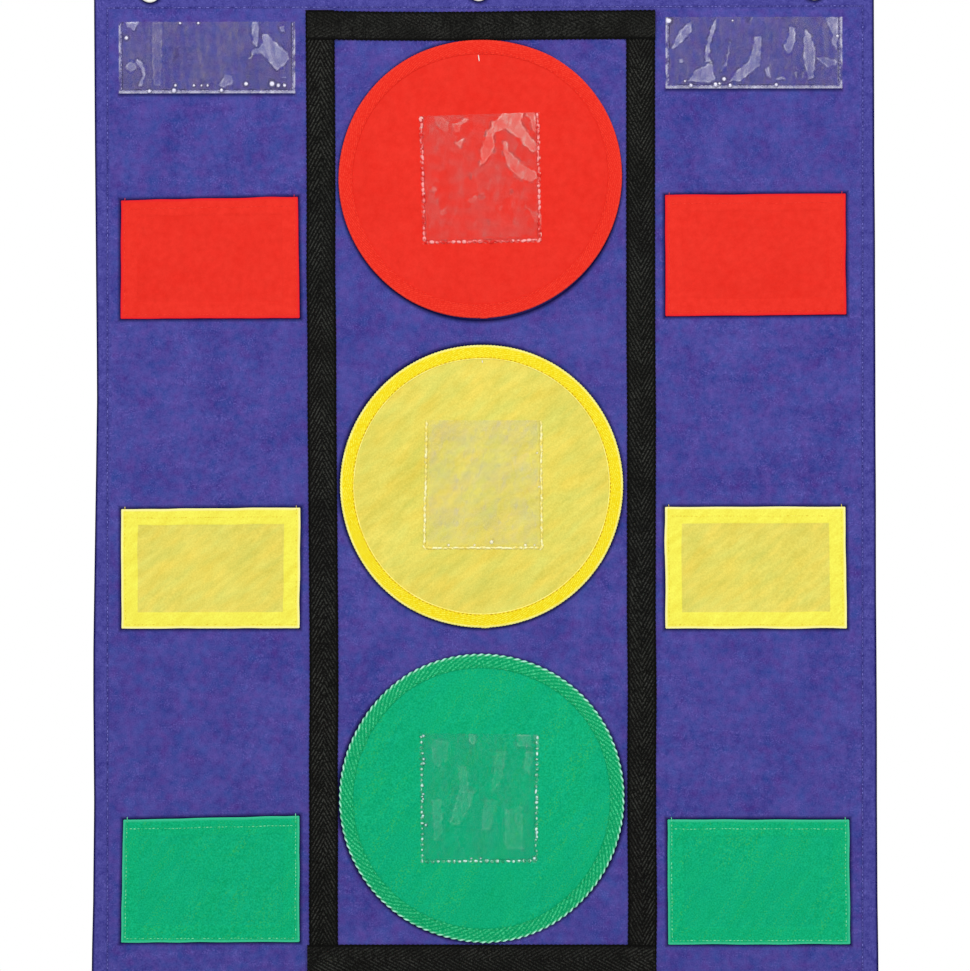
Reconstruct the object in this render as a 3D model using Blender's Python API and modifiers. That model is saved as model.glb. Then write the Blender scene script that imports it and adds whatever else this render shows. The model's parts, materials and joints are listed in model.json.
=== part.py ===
"""Stoplight pocket chart: a hanging cloth chart with three round pockets in a taped frame.

Lengths are in metres. The chart hangs in the XZ plane with +Z up and faces -Y, so the wall is
behind it at +Y. The origin is the middle of the centre eyelet's hole, at the front face of the
cloth. A lift is a distance in front of that face, so a piece at a lift stands at -Y.
"""

import math

import bpy

# Cloth, tape, film and thread
cloth_thickness = 0.00035
hem_layers = 2
tape_width = 0.0188
tape_thickness = 0.0008
binding_width = 0.0092
binding_wall = 0.0005
film_thickness = 0.00025
thread_radius = 0.0002
seat_gap = 0.0003

# Round pockets, from the top down: red, yellow and green
disc_names = ("red", "yellow", "green")
disc_diameter = 0.1863
disc_size_shares = (0.98, 0.99, 1.0)
disc_side_gap = 0.0013
disc_end_gap = 0.0005
disc_gap = 0.0148
disc_rise_shares = (0.0, 0.2, 0.1)
disc_shift_shares = (-0.6, 0.0, 0.2)
rim_round = 0.0004
round_seam_inset = 0.0083
mouth_fold_gap = 0.0066

# Clear windows on the round pockets
window_width = 0.0790
window_height = 0.0843
window_shift_shares = ((-0.004, 0.0), (0.014, 0.007), (-0.018, 0.002))
film_seam_inset = 0.0020
seam_end_gap = 0.0010

# Frame of tape round the three discs
frame_shift = 0.0018
frame_drop = 0.0022
tape_ramp = 0.0018
tape_stitch_inset = 0.0020

# Cloth pockets beside the discs, left then right of each disc
pocket_width = 0.1175
pocket_height = 0.0800
pocket_drop = 0.0528
pocket_hem = 0.0110
mouth_stitch_inset = 0.0060
pocket_seam_inset = 0.0025
pocket_rise_shares = ((0.020, 0.050), (-0.014, -0.006), (-0.008, -0.025))
pocket_shift_shares = ((-0.004, 0.0), (0.002, 0.0), (0.002, 0.018))
pocket_tilt_degrees = ((0.6, 0.5), (0.35, 0.15), (0.8, 0.0))

# Clear sleeves above the cloth pockets
sleeve_width = 0.1150
sleeve_height = 0.0465
sleeve_drop = 0.0081
sleeve_rise_shares = (-0.035, 0.035)
sleeve_shift_shares = (-0.019, -0.009)

# Margins of the backing panel round all of this
left_inner_margin = 0.0044
left_outer_margin = 0.0167
right_inner_margin = 0.0066
right_outer_margin = 0.0194
top_hem = 0.0214
side_hem = 0.0098
hem_stitch_inset = 0.0015

# Eyelets along the top hem
eyelet_drop = 0.0098
left_eyelet_inset = 0.0361
right_eyelet_inset = 0.0401
eyelet_hole_radius = 0.0032
eyelet_wall = 0.0004
eyelet_flange_radius = 0.00685
eyelet_flange_thickness = 0.0004
eyelet_dome = 0.0009
eyelet_flare = 0.0012
washer_radius = 0.0066
washer_thickness = 0.0004

# Counts and distances of the modelling
disc_steps = 72
eyelet_steps = 32
thread_resolution = 1
seam_step_degrees = 6.0
merge_distance = 0.00001
cut_overrun = 0.0050

# Levels in front of the backing panel, each counted from the panel's front face
hem_thickness = hem_layers * cloth_thickness
tape_front = seat_gap + tape_thickness
crossing_lift = tape_front + seat_gap
crossing_front = crossing_lift + tape_thickness
binding_depth = 2 * (binding_wall + seat_gap) + cloth_thickness
binding_front = seat_gap + binding_depth
web_lift = seat_gap + binding_wall + seat_gap
web_front = web_lift + cloth_thickness
window_lift = web_front + seat_gap
window_front = window_lift + film_thickness
pocket_front = seat_gap + hem_thickness
sleeve_front = seat_gap + film_thickness
thread_lift = seat_gap + thread_radius
hinge_lift = binding_front + thread_lift + thread_radius

# Places of the frame and of the chart's edges
frame_inner_half = disc_diameter / 2 + disc_side_gap
frame_outer_half = frame_inner_half + tape_width
chart_top = eyelet_drop
top_stitch_line = chart_top - top_hem + hem_stitch_inset
frame_top = top_stitch_line - frame_drop
frame_inner_top = frame_top - tape_width
discs_height = 3 * disc_diameter + 2 * disc_gap
frame_inner_bottom = frame_inner_top - discs_height - 2 * disc_end_gap
frame_bottom = frame_inner_bottom - tape_width
column_width = max(pocket_width, sleeve_width)
left_column = frame_shift - frame_outer_half - left_inner_margin - column_width / 2
right_column = frame_shift + frame_outer_half + right_inner_margin + column_width / 2
chart_left = left_column - column_width / 2 - left_outer_margin
chart_right = right_column + column_width / 2 + right_outer_margin
disc_radii = [share * disc_diameter / 2 for share in disc_size_shares]


def disc_centre(row):
    """Each disc hangs from the top of its own third of the frame, raised by a share of the gap."""
    third_top = frame_inner_top - disc_end_gap - row * (disc_diameter + disc_gap)
    middle = third_top - disc_radii[row] + disc_rise_shares[row] * disc_gap
    return frame_shift + disc_shift_shares[row] * disc_side_gap, middle


def pocket_centre(row, side):
    """A cloth pocket sits beside the lower half of its disc, a little off where it was aimed."""
    column = (left_column, right_column)[side]
    x = column + pocket_shift_shares[row][side] * pocket_width
    z = disc_centre(row)[1] - pocket_drop + pocket_rise_shares[row][side] * pocket_height
    return x, z


last_row = len(disc_names) - 1
lowest_pocket = min(pocket_centre(last_row, side)[1] for side in (0, 1)) - pocket_height / 2
bottom_stitch_line = min(frame_bottom, lowest_pocket) - frame_drop
chart_bottom = bottom_stitch_line + hem_stitch_inset - side_hem
eyelet_places = {
    "left": chart_left + left_eyelet_inset,
    "centre": 0.0,
    "right": chart_right - right_eyelet_inset,
}


def make_collection(name):
    collection = bpy.data.collections.new(name)
    bpy.context.scene.collection.children.link(collection)
    return collection


for old in list(bpy.data.objects):
    bpy.data.objects.remove(old, do_unlink=True)
parts = make_collection("stoplight_pocket_chart")
cutters = make_collection("cutters")


def linear(channel):
    """A channel of a colour seen on a screen, 0 to 255, as the light value that a shader takes."""
    share = channel / 255
    return share / 12.92 if share < 0.04045 else ((share + 0.055) / 1.055) ** 2.4


def finish(name, colour, roughness, metallic=0.0, alpha=1.0):
    material = bpy.data.materials.new(name)
    material.use_nodes = True
    shader = material.node_tree.nodes["Principled BSDF"]
    shader.inputs["Base Color"].default_value = (*[linear(channel) for channel in colour], 1.0)
    shader.inputs["Roughness"].default_value = roughness
    shader.inputs["Metallic"].default_value = metallic
    shader.inputs["Alpha"].default_value = alpha
    return material


chart_cloth = finish("violet_cloth", (76, 72, 155), 0.75)
chart_thread = finish("violet_thread", (58, 52, 128), 0.6)
black_tape = finish("black_tape", (32, 32, 31), 0.85)
black_thread = finish("black_thread", (18, 18, 18), 0.6)
clear_film = finish("clear_film", (205, 205, 220), 0.15, alpha=0.3)
film_thread = finish("film_thread", (120, 112, 185), 0.5)
bright_metal = finish("bright_metal", (215, 213, 205), 0.25, metallic=1.0)
disc_cloths = [
    finish("red_cloth", (237, 52, 39), 0.7),
    finish("yellow_cloth", (230, 216, 92), 0.7),
    finish("green_cloth", (10, 172, 116), 0.7),
]
binding_cloths = [
    finish("red_binding_tape", (241, 60, 42), 0.75),
    finish("yellow_binding_tape", (250, 233, 42), 0.75),
    finish("green_binding_tape", (20, 185, 120), 0.75),
]
disc_threads = [
    finish("red_thread", (175, 30, 24), 0.6),
    finish("yellow_thread", (190, 172, 30), 0.6),
    finish("green_thread", (6, 120, 80), 0.6),
]


def put(obj, collection, material=None, parent=None):
    """File an object in its collection, with its finish and the empty that carries it."""
    for owner in list(obj.users_collection):
        owner.objects.unlink(obj)
    collection.objects.link(obj)
    if material:
        obj.data.materials.clear()
        obj.data.materials.append(material)
    obj.parent = parent
    return obj


def empty(name, place, turn=(0.0, 0.0, 0.0), parent=None):
    obj = bpy.data.objects.new(name, None)
    obj.location = place
    obj.rotation_euler = turn
    return put(obj, parts, parent=parent)


def box(name, across, lifts, upright, collection=parts, material=None, parent=None):
    """A box from its ranges in x, in lift and in z, with its origin in its middle."""
    bpy.ops.mesh.primitive_cube_add(size=1)
    obj = bpy.context.object
    obj.name = name
    obj.data.name = name
    obj.scale = (across[1] - across[0], lifts[1] - lifts[0], upright[1] - upright[0])
    bpy.ops.object.transform_apply(location=False, rotation=False, scale=True)
    obj.location = (sum(across) / 2, -sum(lifts) / 2, sum(upright) / 2)
    return put(obj, collection, material, parent)


def cut(obj, cutter):
    """Take the cutter's shape out of the object."""
    cutter.hide_render = True
    cutter.display_type = "WIRE"
    boolean = obj.modifiers.new(cutter.name, "BOOLEAN")
    boolean.operation = "DIFFERENCE"
    boolean.solver = "EXACT"
    boolean.object = cutter


def rod_cutter(name, radius, x, z):
    """A round cutter along Y through the cloth."""
    depth = hem_thickness + 2 * cut_overrun
    bpy.ops.mesh.primitive_cylinder_add(vertices=eyelet_steps, radius=radius, depth=depth)
    obj = bpy.context.object
    obj.name = name
    obj.rotation_euler = (math.pi / 2, 0.0, 0.0)
    obj.location = (x, hem_thickness / 2, z)
    return put(obj, cutters)


def hemmed_cloth(name, across, upright, back_lift, hems, material, parent=None):
    """A cloth rectangle whose folded hems stand behind its single middle layer.

    The hems are the widths at the left, right, bottom and top.
    """
    front_lift = back_lift + hem_thickness
    cloth = box(name, across, (back_lift, front_lift), upright, material=material, parent=parent)
    left, right, bottom, top = hems
    hollow = box(
        name + "_hollow",
        (across[0] + left, across[1] - right),
        (back_lift - cut_overrun, front_lift - cloth_thickness),
        (upright[0] + bottom, upright[1] - top),
        collection=cutters,
        parent=parent,
    )
    cut(cloth, hollow)
    return cloth


def thread(name, points, material, parent=None, closed=False, place=(0.0, 0.0, 0.0)):
    """A run of stitching that follows points given as x, lift and z."""
    curve = bpy.data.curves.new(name, "CURVE")
    curve.dimensions = "3D"
    curve.bevel_depth = thread_radius
    curve.bevel_resolution = thread_resolution
    curve.use_fill_caps = not closed
    spline = curve.splines.new("POLY")
    spline.points.add(len(points) - 1)
    for point, (x, lift, z) in zip(spline.points, points):
        point.co = (x, -lift, z, 1.0)
    spline.use_cyclic_u = closed
    obj = bpy.data.objects.new(name, curve)
    obj.location = place
    return put(obj, parts, material, parent)


def turned(name, profile, steps, material, parent=None, place=(0.0, 0.0, 0.0)):
    """A ring turned about Y from a closed profile of radius and lift, outer side downward."""
    mesh = bpy.data.meshes.new(name)
    points = [(radius, 0.0, lift) for radius, lift in profile]
    edges = [(first, (first + 1) % len(points)) for first in range(len(points))]
    mesh.from_pydata(points, edges, [])
    obj = bpy.data.objects.new(name, mesh)
    obj.rotation_euler = (math.pi / 2, 0.0, 0.0)
    obj.location = place
    screw = obj.modifiers.new("turn", "SCREW")
    screw.axis = "Z"
    screw.angle = 2 * math.pi
    screw.steps = steps
    screw.render_steps = steps
    screw.use_smooth_shade = True
    screw.use_merge_vertices = True
    screw.merge_threshold = merge_distance
    return put(obj, parts, material, parent)


def backing_panel():
    panel = hemmed_cloth(
        "backing_panel",
        (chart_left, chart_right),
        (chart_bottom, chart_top),
        -hem_thickness,
        (side_hem, side_hem, side_hem, top_hem),
        chart_cloth,
    )
    hole_radius = eyelet_hole_radius + eyelet_wall + seat_gap
    for name, x in eyelet_places.items():
        cut(panel, rod_cutter(name + "_eyelet_hole", hole_radius, x, 0.0))


def hem_stitching():
    """One line of stitching holds the panel's four hems down."""
    left = chart_left + side_hem - hem_stitch_inset
    right = chart_right - side_hem + hem_stitch_inset
    corners = [
        (left, thread_lift, top_stitch_line),
        (right, thread_lift, top_stitch_line),
        (right, thread_lift, bottom_stitch_line),
        (left, thread_lift, bottom_stitch_line),
    ]
    thread("hem_stitching", corners, chart_thread, closed=True)


def eyelet(name, x):
    """An eyelet: a domed flange in front, a barrel through the hem and an edge flared behind it."""
    barrel = eyelet_hole_radius + eyelet_wall
    dome_radius = (barrel + eyelet_flange_radius) / 2
    flange_top = seat_gap + eyelet_flange_thickness
    dome_top = flange_top + eyelet_dome
    washer_front = -(hem_thickness + seat_gap)
    washer_back = washer_front - washer_thickness
    flare_front = washer_back - seat_gap
    flare_back = flare_front - eyelet_wall
    profile = [
        (eyelet_hole_radius, flange_top),
        (barrel, dome_top - eyelet_dome / 4),
        (dome_radius, dome_top),
        (eyelet_flange_radius - eyelet_flange_thickness, flange_top + eyelet_dome / 3),
        (eyelet_flange_radius, flange_top),
        (eyelet_flange_radius, seat_gap),
        (barrel, seat_gap),
        (barrel, flare_front),
        (barrel + eyelet_flare, flare_front),
        (barrel + eyelet_flare, flare_back),
        (eyelet_hole_radius, flare_back),
    ]
    place = (x, 0.0, 0.0)
    turned(name + "_eyelet", profile, eyelet_steps, bright_metal, place=place)
    bore = barrel + seat_gap
    washer = [
        (bore, washer_front),
        (washer_radius, washer_front),
        (washer_radius, washer_back),
        (bore, washer_back),
    ]
    turned(name + "_washer", washer, eyelet_steps, bright_metal, place=place)


def upright_tape(name, side):
    """A tape down one side of the frame, from the top tape's upper edge to the bottom's lower."""
    inner = frame_shift + side * frame_inner_half
    outer = frame_shift + side * frame_outer_half
    across = (min(inner, outer), max(inner, outer))
    box(name, across, (seat_gap, tape_front), (frame_bottom, frame_top), material=black_tape)


def level_tape(name, low, high):
    """A tape across the frame that steps up over the ends of the two upright ones."""
    step_end = frame_inner_half - seat_gap
    step_start = step_end - tape_ramp
    back = [
        (-frame_outer_half, crossing_lift),
        (-step_end, crossing_lift),
        (-step_start, seat_gap),
        (step_start, seat_gap),
        (step_end, crossing_lift),
        (frame_outer_half, crossing_lift),
    ]
    front = [(x, lift + tape_thickness) for x, lift in reversed(back)]
    curve = bpy.data.curves.new(name, "CURVE")
    curve.dimensions = "2D"
    curve.fill_mode = "BOTH"
    curve.extrude = (high - low) / 2
    spline = curve.splines.new("POLY")
    outline = back + front
    spline.points.add(len(outline) - 1)
    for point, (x, lift) in zip(spline.points, outline):
        point.co = (x, -lift, 0.0, 1.0)
    spline.use_cyclic_u = True
    obj = bpy.data.objects.new(name, curve)
    obj.location = (frame_shift, 0.0, (low + high) / 2)
    put(obj, parts, black_tape)


def frame_stitching(name, half, top, bottom):
    """A closed line of stitching along the tapes that climbs where two of them cross."""
    step_end = frame_inner_half - seat_gap - thread_lift
    step_start = step_end - tape_ramp
    low = tape_front + thread_lift
    high = crossing_front + thread_lift
    drop_start = thread_lift
    drop_end = drop_start + tape_ramp
    upper, lower = frame_inner_top, frame_inner_bottom

    def across(z, way):
        ramp = [(-half, high), (-step_end, high), (-step_start, low)]
        ramp += [(step_start, low), (step_end, high), (half, high)]
        return [(frame_shift + way * x, lift, z) for x, lift in ramp]

    def down(x, way):
        ramp = [(upper - drop_start, high), (upper - drop_end, low)]
        ramp += [(lower + drop_end, low), (lower + drop_start, high)]
        return [(frame_shift + x, lift, z) for z, lift in ramp[::way]]

    points = across(top, 1) + down(half, 1) + across(bottom, -1) + down(-half, -1)
    thread(name, points, black_thread, closed=True)


def frame():
    upright_tape("left_frame_tape", -1)
    upright_tape("right_frame_tape", 1)
    level_tape("top_frame_tape", frame_inner_top, frame_top)
    level_tape("bottom_frame_tape", frame_bottom, frame_inner_bottom)
    outer = frame_outer_half - tape_stitch_inset
    inner = frame_inner_half + tape_stitch_inset
    frame_stitching(
        "frame_outer_stitching", outer, frame_top - tape_stitch_inset, frame_bottom + tape_stitch_inset
    )
    frame_stitching(
        "frame_inner_stitching",
        inner,
        frame_inner_top + tape_stitch_inset,
        frame_inner_bottom - tape_stitch_inset,
    )


def seam_on_three_sides(name, width, height, inset, surface, material, parent):
    """Stitching down one side of a pocket, along its bottom and up its other side."""
    half = width / 2 - inset
    top = height / 2 - seam_end_gap
    bottom = -height / 2 + inset
    lift = surface + thread_lift
    points = [(-half, lift, top), (-half, lift, bottom), (half, lift, bottom), (half, lift, top)]
    thread(name, points, material, parent)


def arc_seam(name, radius, start, end, material, parent, place=(0.0, 0.0, 0.0)):
    """Stitching along a disc's binding, between two angles from the top of the disc."""
    steps = max(2, round(math.degrees(end - start) / seam_step_degrees))
    lift = binding_front + thread_lift
    angles = [start + (end - start) * step / steps for step in range(steps + 1)]
    points = [(radius * math.sin(angle), lift, radius * math.cos(angle)) for angle in angles]
    thread(name, points, material, parent, place=place)


def disc_piece(name, radius, keep_below, divider, parent, place, material):
    """One side of a disc of cloth, parted at its fold line."""
    bpy.ops.mesh.primitive_cylinder_add(vertices=disc_steps, radius=radius, depth=cloth_thickness)
    obj = bpy.context.object
    obj.name = name
    obj.rotation_euler = (math.pi / 2, 0.0, 0.0)
    obj.location = (place[0], place[1] - web_lift - cloth_thickness / 2, place[2])
    put(obj, parts, material, parent)
    cut(obj, divider[keep_below])


def binding_piece(name, radius, keep_below, divider, parent, place, material):
    """One side of the folded tape that wraps a disc's edge, parted at the same fold line."""
    inner = radius - binding_width
    channel = radius - binding_wall
    back, front = seat_gap, binding_front
    profile = [
        (inner, front),
        (radius - rim_round, front),
        (radius, front - rim_round),
        (radius, back + rim_round),
        (radius - rim_round, back),
        (inner, back),
        (inner, back + binding_wall),
        (channel, back + binding_wall),
        (channel, front - binding_wall),
        (inner, front - binding_wall),
    ]
    ring = turned(name, profile, disc_steps, material, parent, place)
    cut(ring, divider[keep_below])


def round_pocket(row):
    """A disc sewn down below its fold line, with a free mouth above it that tips forward."""
    name = disc_names[row]
    radius = disc_radii[row]
    x, z = disc_centre(row)
    window_rise = window_shift_shares[row][1] * window_height
    fold = window_rise + window_height / 2 + mouth_fold_gap
    sewn = empty(name + "_disc_place", (x, 0.0, z))
    hinge = empty(name + "_mouth_hinge", (0.0, -hinge_lift, fold), parent=sewn)
    back_to_disc = (0.0, hinge_lift, -fold)

    reach = radius + cut_overrun
    lifts = (-cut_overrun, hinge_lift + cut_overrun)
    above = (fold - seat_gap / 2, reach)
    below = (-reach, fold + seat_gap / 2)
    divider = {
        True: box(name + "_upper_cut", (-reach, reach), lifts, above, cutters, parent=sewn),
        False: box(name + "_lower_cut", (-reach, reach), lifts, below, cutters, parent=sewn),
    }

    cloth, tape, seam = disc_cloths[row], binding_cloths[row], disc_threads[row]
    web_radius = radius - binding_wall - seat_gap
    disc_piece(name + "_round_pocket", web_radius, True, divider, sewn, (0.0, 0.0, 0.0), cloth)
    disc_piece(name + "_mouth_flap", web_radius, False, divider, hinge, back_to_disc, cloth)
    binding_piece(name + "_binding", radius, True, divider, sewn, (0.0, 0.0, 0.0), tape)
    binding_piece(name + "_mouth_binding", radius, False, divider, hinge, back_to_disc, tape)

    seam_radius = radius - round_seam_inset
    end_clearance = seat_gap / 2 + thread_radius
    flap_angle = math.acos((fold + end_clearance) / seam_radius)
    sewn_angle = math.acos((fold - end_clearance) / seam_radius)
    arc_seam(name + "_round_seam", seam_radius, sewn_angle, 2 * math.pi - sewn_angle, seam, sewn)
    arc_seam(
        name + "_mouth_stitching", seam_radius, -flap_angle, flap_angle, seam, hinge, back_to_disc
    )


def window(row):
    """A clear film pocket in the middle of a disc, open at its top."""
    name = disc_names[row] + "_window"
    x, z = disc_centre(row)
    shift, rise = window_shift_shares[row]
    place = (x + shift * window_width, 0.0, z + rise * window_height)
    middle = empty(name + "_place", place)
    across = (-window_width / 2, window_width / 2)
    upright = (-window_height / 2, window_height / 2)
    lifts = (window_lift, window_front)
    box(name, across, lifts, upright, material=clear_film, parent=middle)
    seam_on_three_sides(
        name + "_seam", window_width, window_height, film_seam_inset, window_front, disc_threads[row], middle
    )


def cloth_pocket(row, side):
    """A hemmed rectangle of cloth sewn on three sides, with its own stitching along the mouth."""
    name = disc_names[row] + ("_left", "_right")[side]
    x, z = pocket_centre(row, side)
    tilt = math.radians(pocket_tilt_degrees[row][side])
    middle = empty(name + "_pocket_place", (x, 0.0, z), (0.0, -tilt, 0.0))
    across = (-pocket_width / 2, pocket_width / 2)
    upright = (-pocket_height / 2, pocket_height / 2)
    hems = (pocket_hem, pocket_hem, pocket_hem, pocket_hem)
    hemmed_cloth(name + "_pocket", across, upright, seat_gap, hems, disc_cloths[row], middle)
    seam_on_three_sides(
        name + "_pocket_seam",
        pocket_width,
        pocket_height,
        pocket_seam_inset,
        pocket_front,
        disc_threads[row],
        middle,
    )
    half = pocket_width / 2 - pocket_seam_inset - 2 * thread_radius - seat_gap
    height = pocket_height / 2 - mouth_stitch_inset
    lift = pocket_front + thread_lift
    points = [(-half, lift, height), (half, lift, height)]
    thread(name + "_hem_stitching", points, disc_threads[row], middle)


def sleeve(side):
    """A clear film sleeve for a label, above the red row's cloth pocket."""
    name = ("left_sleeve", "right_sleeve")[side]
    x = (left_column, right_column)[side] + sleeve_shift_shares[side] * sleeve_width
    z = top_stitch_line - sleeve_drop - sleeve_height / 2 + sleeve_rise_shares[side] * sleeve_height
    middle = empty(name + "_place", (x, 0.0, z))
    across = (-sleeve_width / 2, sleeve_width / 2)
    upright = (-sleeve_height / 2, sleeve_height / 2)
    box(name, across, (seat_gap, sleeve_front), upright, material=clear_film, parent=middle)
    seam_on_three_sides(
        name + "_seam", sleeve_width, sleeve_height, film_seam_inset, sleeve_front, film_thread, middle
    )


backing_panel()
hem_stitching()
frame()
for eyelet_name, eyelet_x in eyelet_places.items():
    eyelet(eyelet_name, eyelet_x)
for disc_row in range(len(disc_names)):
    round_pocket(disc_row)
    window(disc_row)
    for pocket_side in (0, 1):
        cloth_pocket(disc_row, pocket_side)
for sleeve_side in (0, 1):
    sleeve(sleeve_side)

chart_width = chart_right - chart_left
chart_height = chart_top - chart_bottom
print(f"chart {chart_width * 1000:.1f} x {chart_height * 1000:.1f} mm")
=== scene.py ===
# %% [markdown]
# # A stoplight pocket chart
#
# The real object is a nylon wall chart. A frame of black tape holds three round pockets, red, yellow
# and green, and each has a clear window. Hemmed cloth pockets stand beside them, and clear sleeves
# for labels above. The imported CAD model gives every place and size. Here each CAD solid is replaced
# by a finer mesh in the same place, with the weave, stitches and creases that sewn cloth has.
#
# Blender works in metres. The chart hangs in the XZ plane and faces -Y, so a piece's lift is how far
# it stands in front of the backing, towards -Y.

# %% Load the frame
import json
import math

import bmesh
import bpy
import numpy as np
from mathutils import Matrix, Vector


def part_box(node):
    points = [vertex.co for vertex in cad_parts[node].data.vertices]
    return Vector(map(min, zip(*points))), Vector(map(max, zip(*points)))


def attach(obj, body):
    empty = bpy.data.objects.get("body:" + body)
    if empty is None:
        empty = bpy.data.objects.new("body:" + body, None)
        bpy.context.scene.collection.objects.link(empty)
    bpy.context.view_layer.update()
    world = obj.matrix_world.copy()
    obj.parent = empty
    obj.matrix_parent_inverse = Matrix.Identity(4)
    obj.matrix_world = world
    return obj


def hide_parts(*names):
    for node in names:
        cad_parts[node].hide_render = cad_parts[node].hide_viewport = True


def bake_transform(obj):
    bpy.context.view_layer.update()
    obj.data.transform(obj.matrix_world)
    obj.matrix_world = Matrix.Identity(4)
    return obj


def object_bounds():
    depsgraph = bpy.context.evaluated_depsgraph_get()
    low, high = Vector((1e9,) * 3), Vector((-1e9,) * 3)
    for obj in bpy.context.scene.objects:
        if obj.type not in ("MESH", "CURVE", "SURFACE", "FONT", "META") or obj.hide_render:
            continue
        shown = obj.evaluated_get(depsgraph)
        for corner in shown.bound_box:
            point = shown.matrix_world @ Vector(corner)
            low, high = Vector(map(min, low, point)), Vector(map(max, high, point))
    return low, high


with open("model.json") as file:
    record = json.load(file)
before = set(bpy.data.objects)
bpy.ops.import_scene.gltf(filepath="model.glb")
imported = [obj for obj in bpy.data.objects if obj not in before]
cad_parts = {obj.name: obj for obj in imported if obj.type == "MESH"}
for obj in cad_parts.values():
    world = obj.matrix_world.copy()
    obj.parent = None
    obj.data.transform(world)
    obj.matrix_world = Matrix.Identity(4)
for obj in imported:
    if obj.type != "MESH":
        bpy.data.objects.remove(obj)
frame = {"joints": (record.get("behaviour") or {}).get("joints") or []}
cad_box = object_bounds()
mm = 0.001
print("CAD box from", list(cad_box[0]), "to", list(cad_box[1]))

# %% [markdown]
# ## The camera
#
# The photo was taken from straight in front, and its lines stay parallel, so the camera is far away
# with a long lens. The distance follows from the lens, which has to see the height that the photo
# shows. A wide lens close by would also show the sides of the pockets' edges.

# %% Place the camera
seen_height = 632.4 * mm
seen_middle = (4.23 * mm, -321.7 * mm)
lens, sensor = 100.0, 36.0
camera_distance = seen_height * lens / sensor
camera_data = bpy.data.cameras.new("camera")
camera_data.lens = lens
camera_data.sensor_width = sensor
camera = bpy.data.objects.new("camera", camera_data)
camera.location = (seen_middle[0], -camera_distance, seen_middle[1])
camera.rotation_euler = (math.pi / 2, 0.0, 0.0)
bpy.context.scene.collection.objects.link(camera)
bpy.context.scene.camera = camera
bpy.context.scene.view_settings.view_transform = "Standard"
print(f"camera {camera_distance:.3f} m in front of the chart")

# %% [markdown]
# ## Nodes from code
#
# Materials and the world are networks of nodes. They can be drawn by hand in the shader editor, but
# then a script can't rebuild them. Four helpers keep the code short. A Mix node has sockets for
# numbers, vectors and colours, and those for colours are found by their numbers. A value that is the
# same all over a surface goes straight on the shader's own socket.

# %% Helpers for nodes
mix_first, mix_second, mix_result = 6, 7, 2


def fill(tree, node, inputs):
    """Fill a node's inputs with values, or with links from other nodes."""
    for socket, value in inputs.items():
        if isinstance(value, bpy.types.NodeSocket):
            tree.links.new(value, node.inputs[socket])
        else:
            node.inputs[socket].default_value = value
    return node


def add_node(tree, kind, inputs=None, **settings):
    """Add a shader node, set its options and fill its inputs."""
    node = tree.nodes.new("ShaderNode" + kind)
    for option, value in settings.items():
        setattr(node, option, value)
    return fill(tree, node, inputs or {})


def calculate(tree, operation, first, second=0.0):
    """One step of arithmetic on values in a material."""
    node = add_node(tree, "Math", {0: first, 1: second}, operation=operation)
    return node.outputs[0]


def mix_colours(tree, share, first, second):
    """A colour between two others."""
    inputs = {0: share, mix_first: first, mix_second: second}
    return add_node(tree, "Mix", inputs, data_type="RGBA").outputs[mix_result]


# %% [markdown]
# ## A white room
#
# The background is white because the world is white to the camera's own rays. It is also white to
# rays that metal and film mirror, and dimmer to the rays that light the cloth. A white wall would be
# the other way, but it would catch the chart's shadow.

# %% The world
world_level = 0.51
white = (1.0, 1.0, 1.0, 1.0)
world = bpy.data.worlds.new("white_room")
world.use_nodes = True
bpy.context.scene.world = world
tree = world.node_tree
ray = add_node(tree, "LightPath").outputs
mirrored = calculate(tree, "MAXIMUM", ray["Is Glossy Ray"], ray["Is Transmission Ray"])
shows_white = calculate(tree, "MAXIMUM", ray["Is Camera Ray"], mirrored)
levels = {"Value": shows_white, "To Min": world_level, "To Max": 1.0}
strength = add_node(tree, "MapRange", levels).outputs["Result"]
fill(tree, tree.nodes["Background"], {"Color": white, "Strength": strength})
print("the world lights the chart at", world_level)

# %% [markdown]
# ## Two soft lamps
#
# A soft lamp stands high on the left and a weaker one low on the right, and the world adds the rest
# from all round. Together they light the cloth at about the level at which a colour renders as it is
# written. Clear film shows its creases only by what it mirrors, so the lamps stand near the camera.

# %% Hang the lamps
def soft_lamp(name, place, size, power):
    """A square area lamp that faces the middle of the chart."""
    lamp = bpy.data.lights.new(name, "AREA")
    lamp.size = size
    lamp.energy = power
    obj = bpy.data.objects.new(name, lamp)
    obj.location = place
    aim = np.array([seen_middle[0], 0.0, seen_middle[1]]) - np.array(place)
    tilt = math.atan2(math.hypot(aim[0], aim[1]), -aim[2])
    turn = math.atan2(-aim[0], aim[1])
    obj.rotation_euler = (tilt, 0.0, turn)
    bpy.context.scene.collection.objects.link(obj)
    return obj


lamps = [
    soft_lamp("key_lamp", place=(-0.5, -1.7, 0.8), size=0.5, power=17.0),
    soft_lamp("fill_lamp", place=(0.95, -1.65, 0.05), size=0.6, power=8.0),
]
print("lamps:", ", ".join(f"{lamp.name} of {lamp.data.energy:.0f} W" for lamp in lamps))

# %% [markdown]
# ## The floor
#
# The chart hangs just above a pale floor, which keeps its shadow and fades into the white
# background. The floor is a plain disc, and its finish does the fading.

# %% Lay the floor
floor_gap, floor_radius, floor_corners = 60 * mm, 1.4, 64
floor_mesh = bpy.data.meshes.new("floor")
disc = bmesh.new()
bmesh.ops.create_circle(disc, cap_ends=True, radius=floor_radius, segments=floor_corners)
disc.to_mesh(floor_mesh)
disc.free()
floor = bpy.data.objects.new("floor", floor_mesh)
floor.location = (0.0, 0.0, cad_box[0][2] - floor_gap)
bpy.context.scene.collection.objects.link(floor)
print(f"the floor lies {floor_gap / mm:.0f} mm below the chart")

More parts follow.
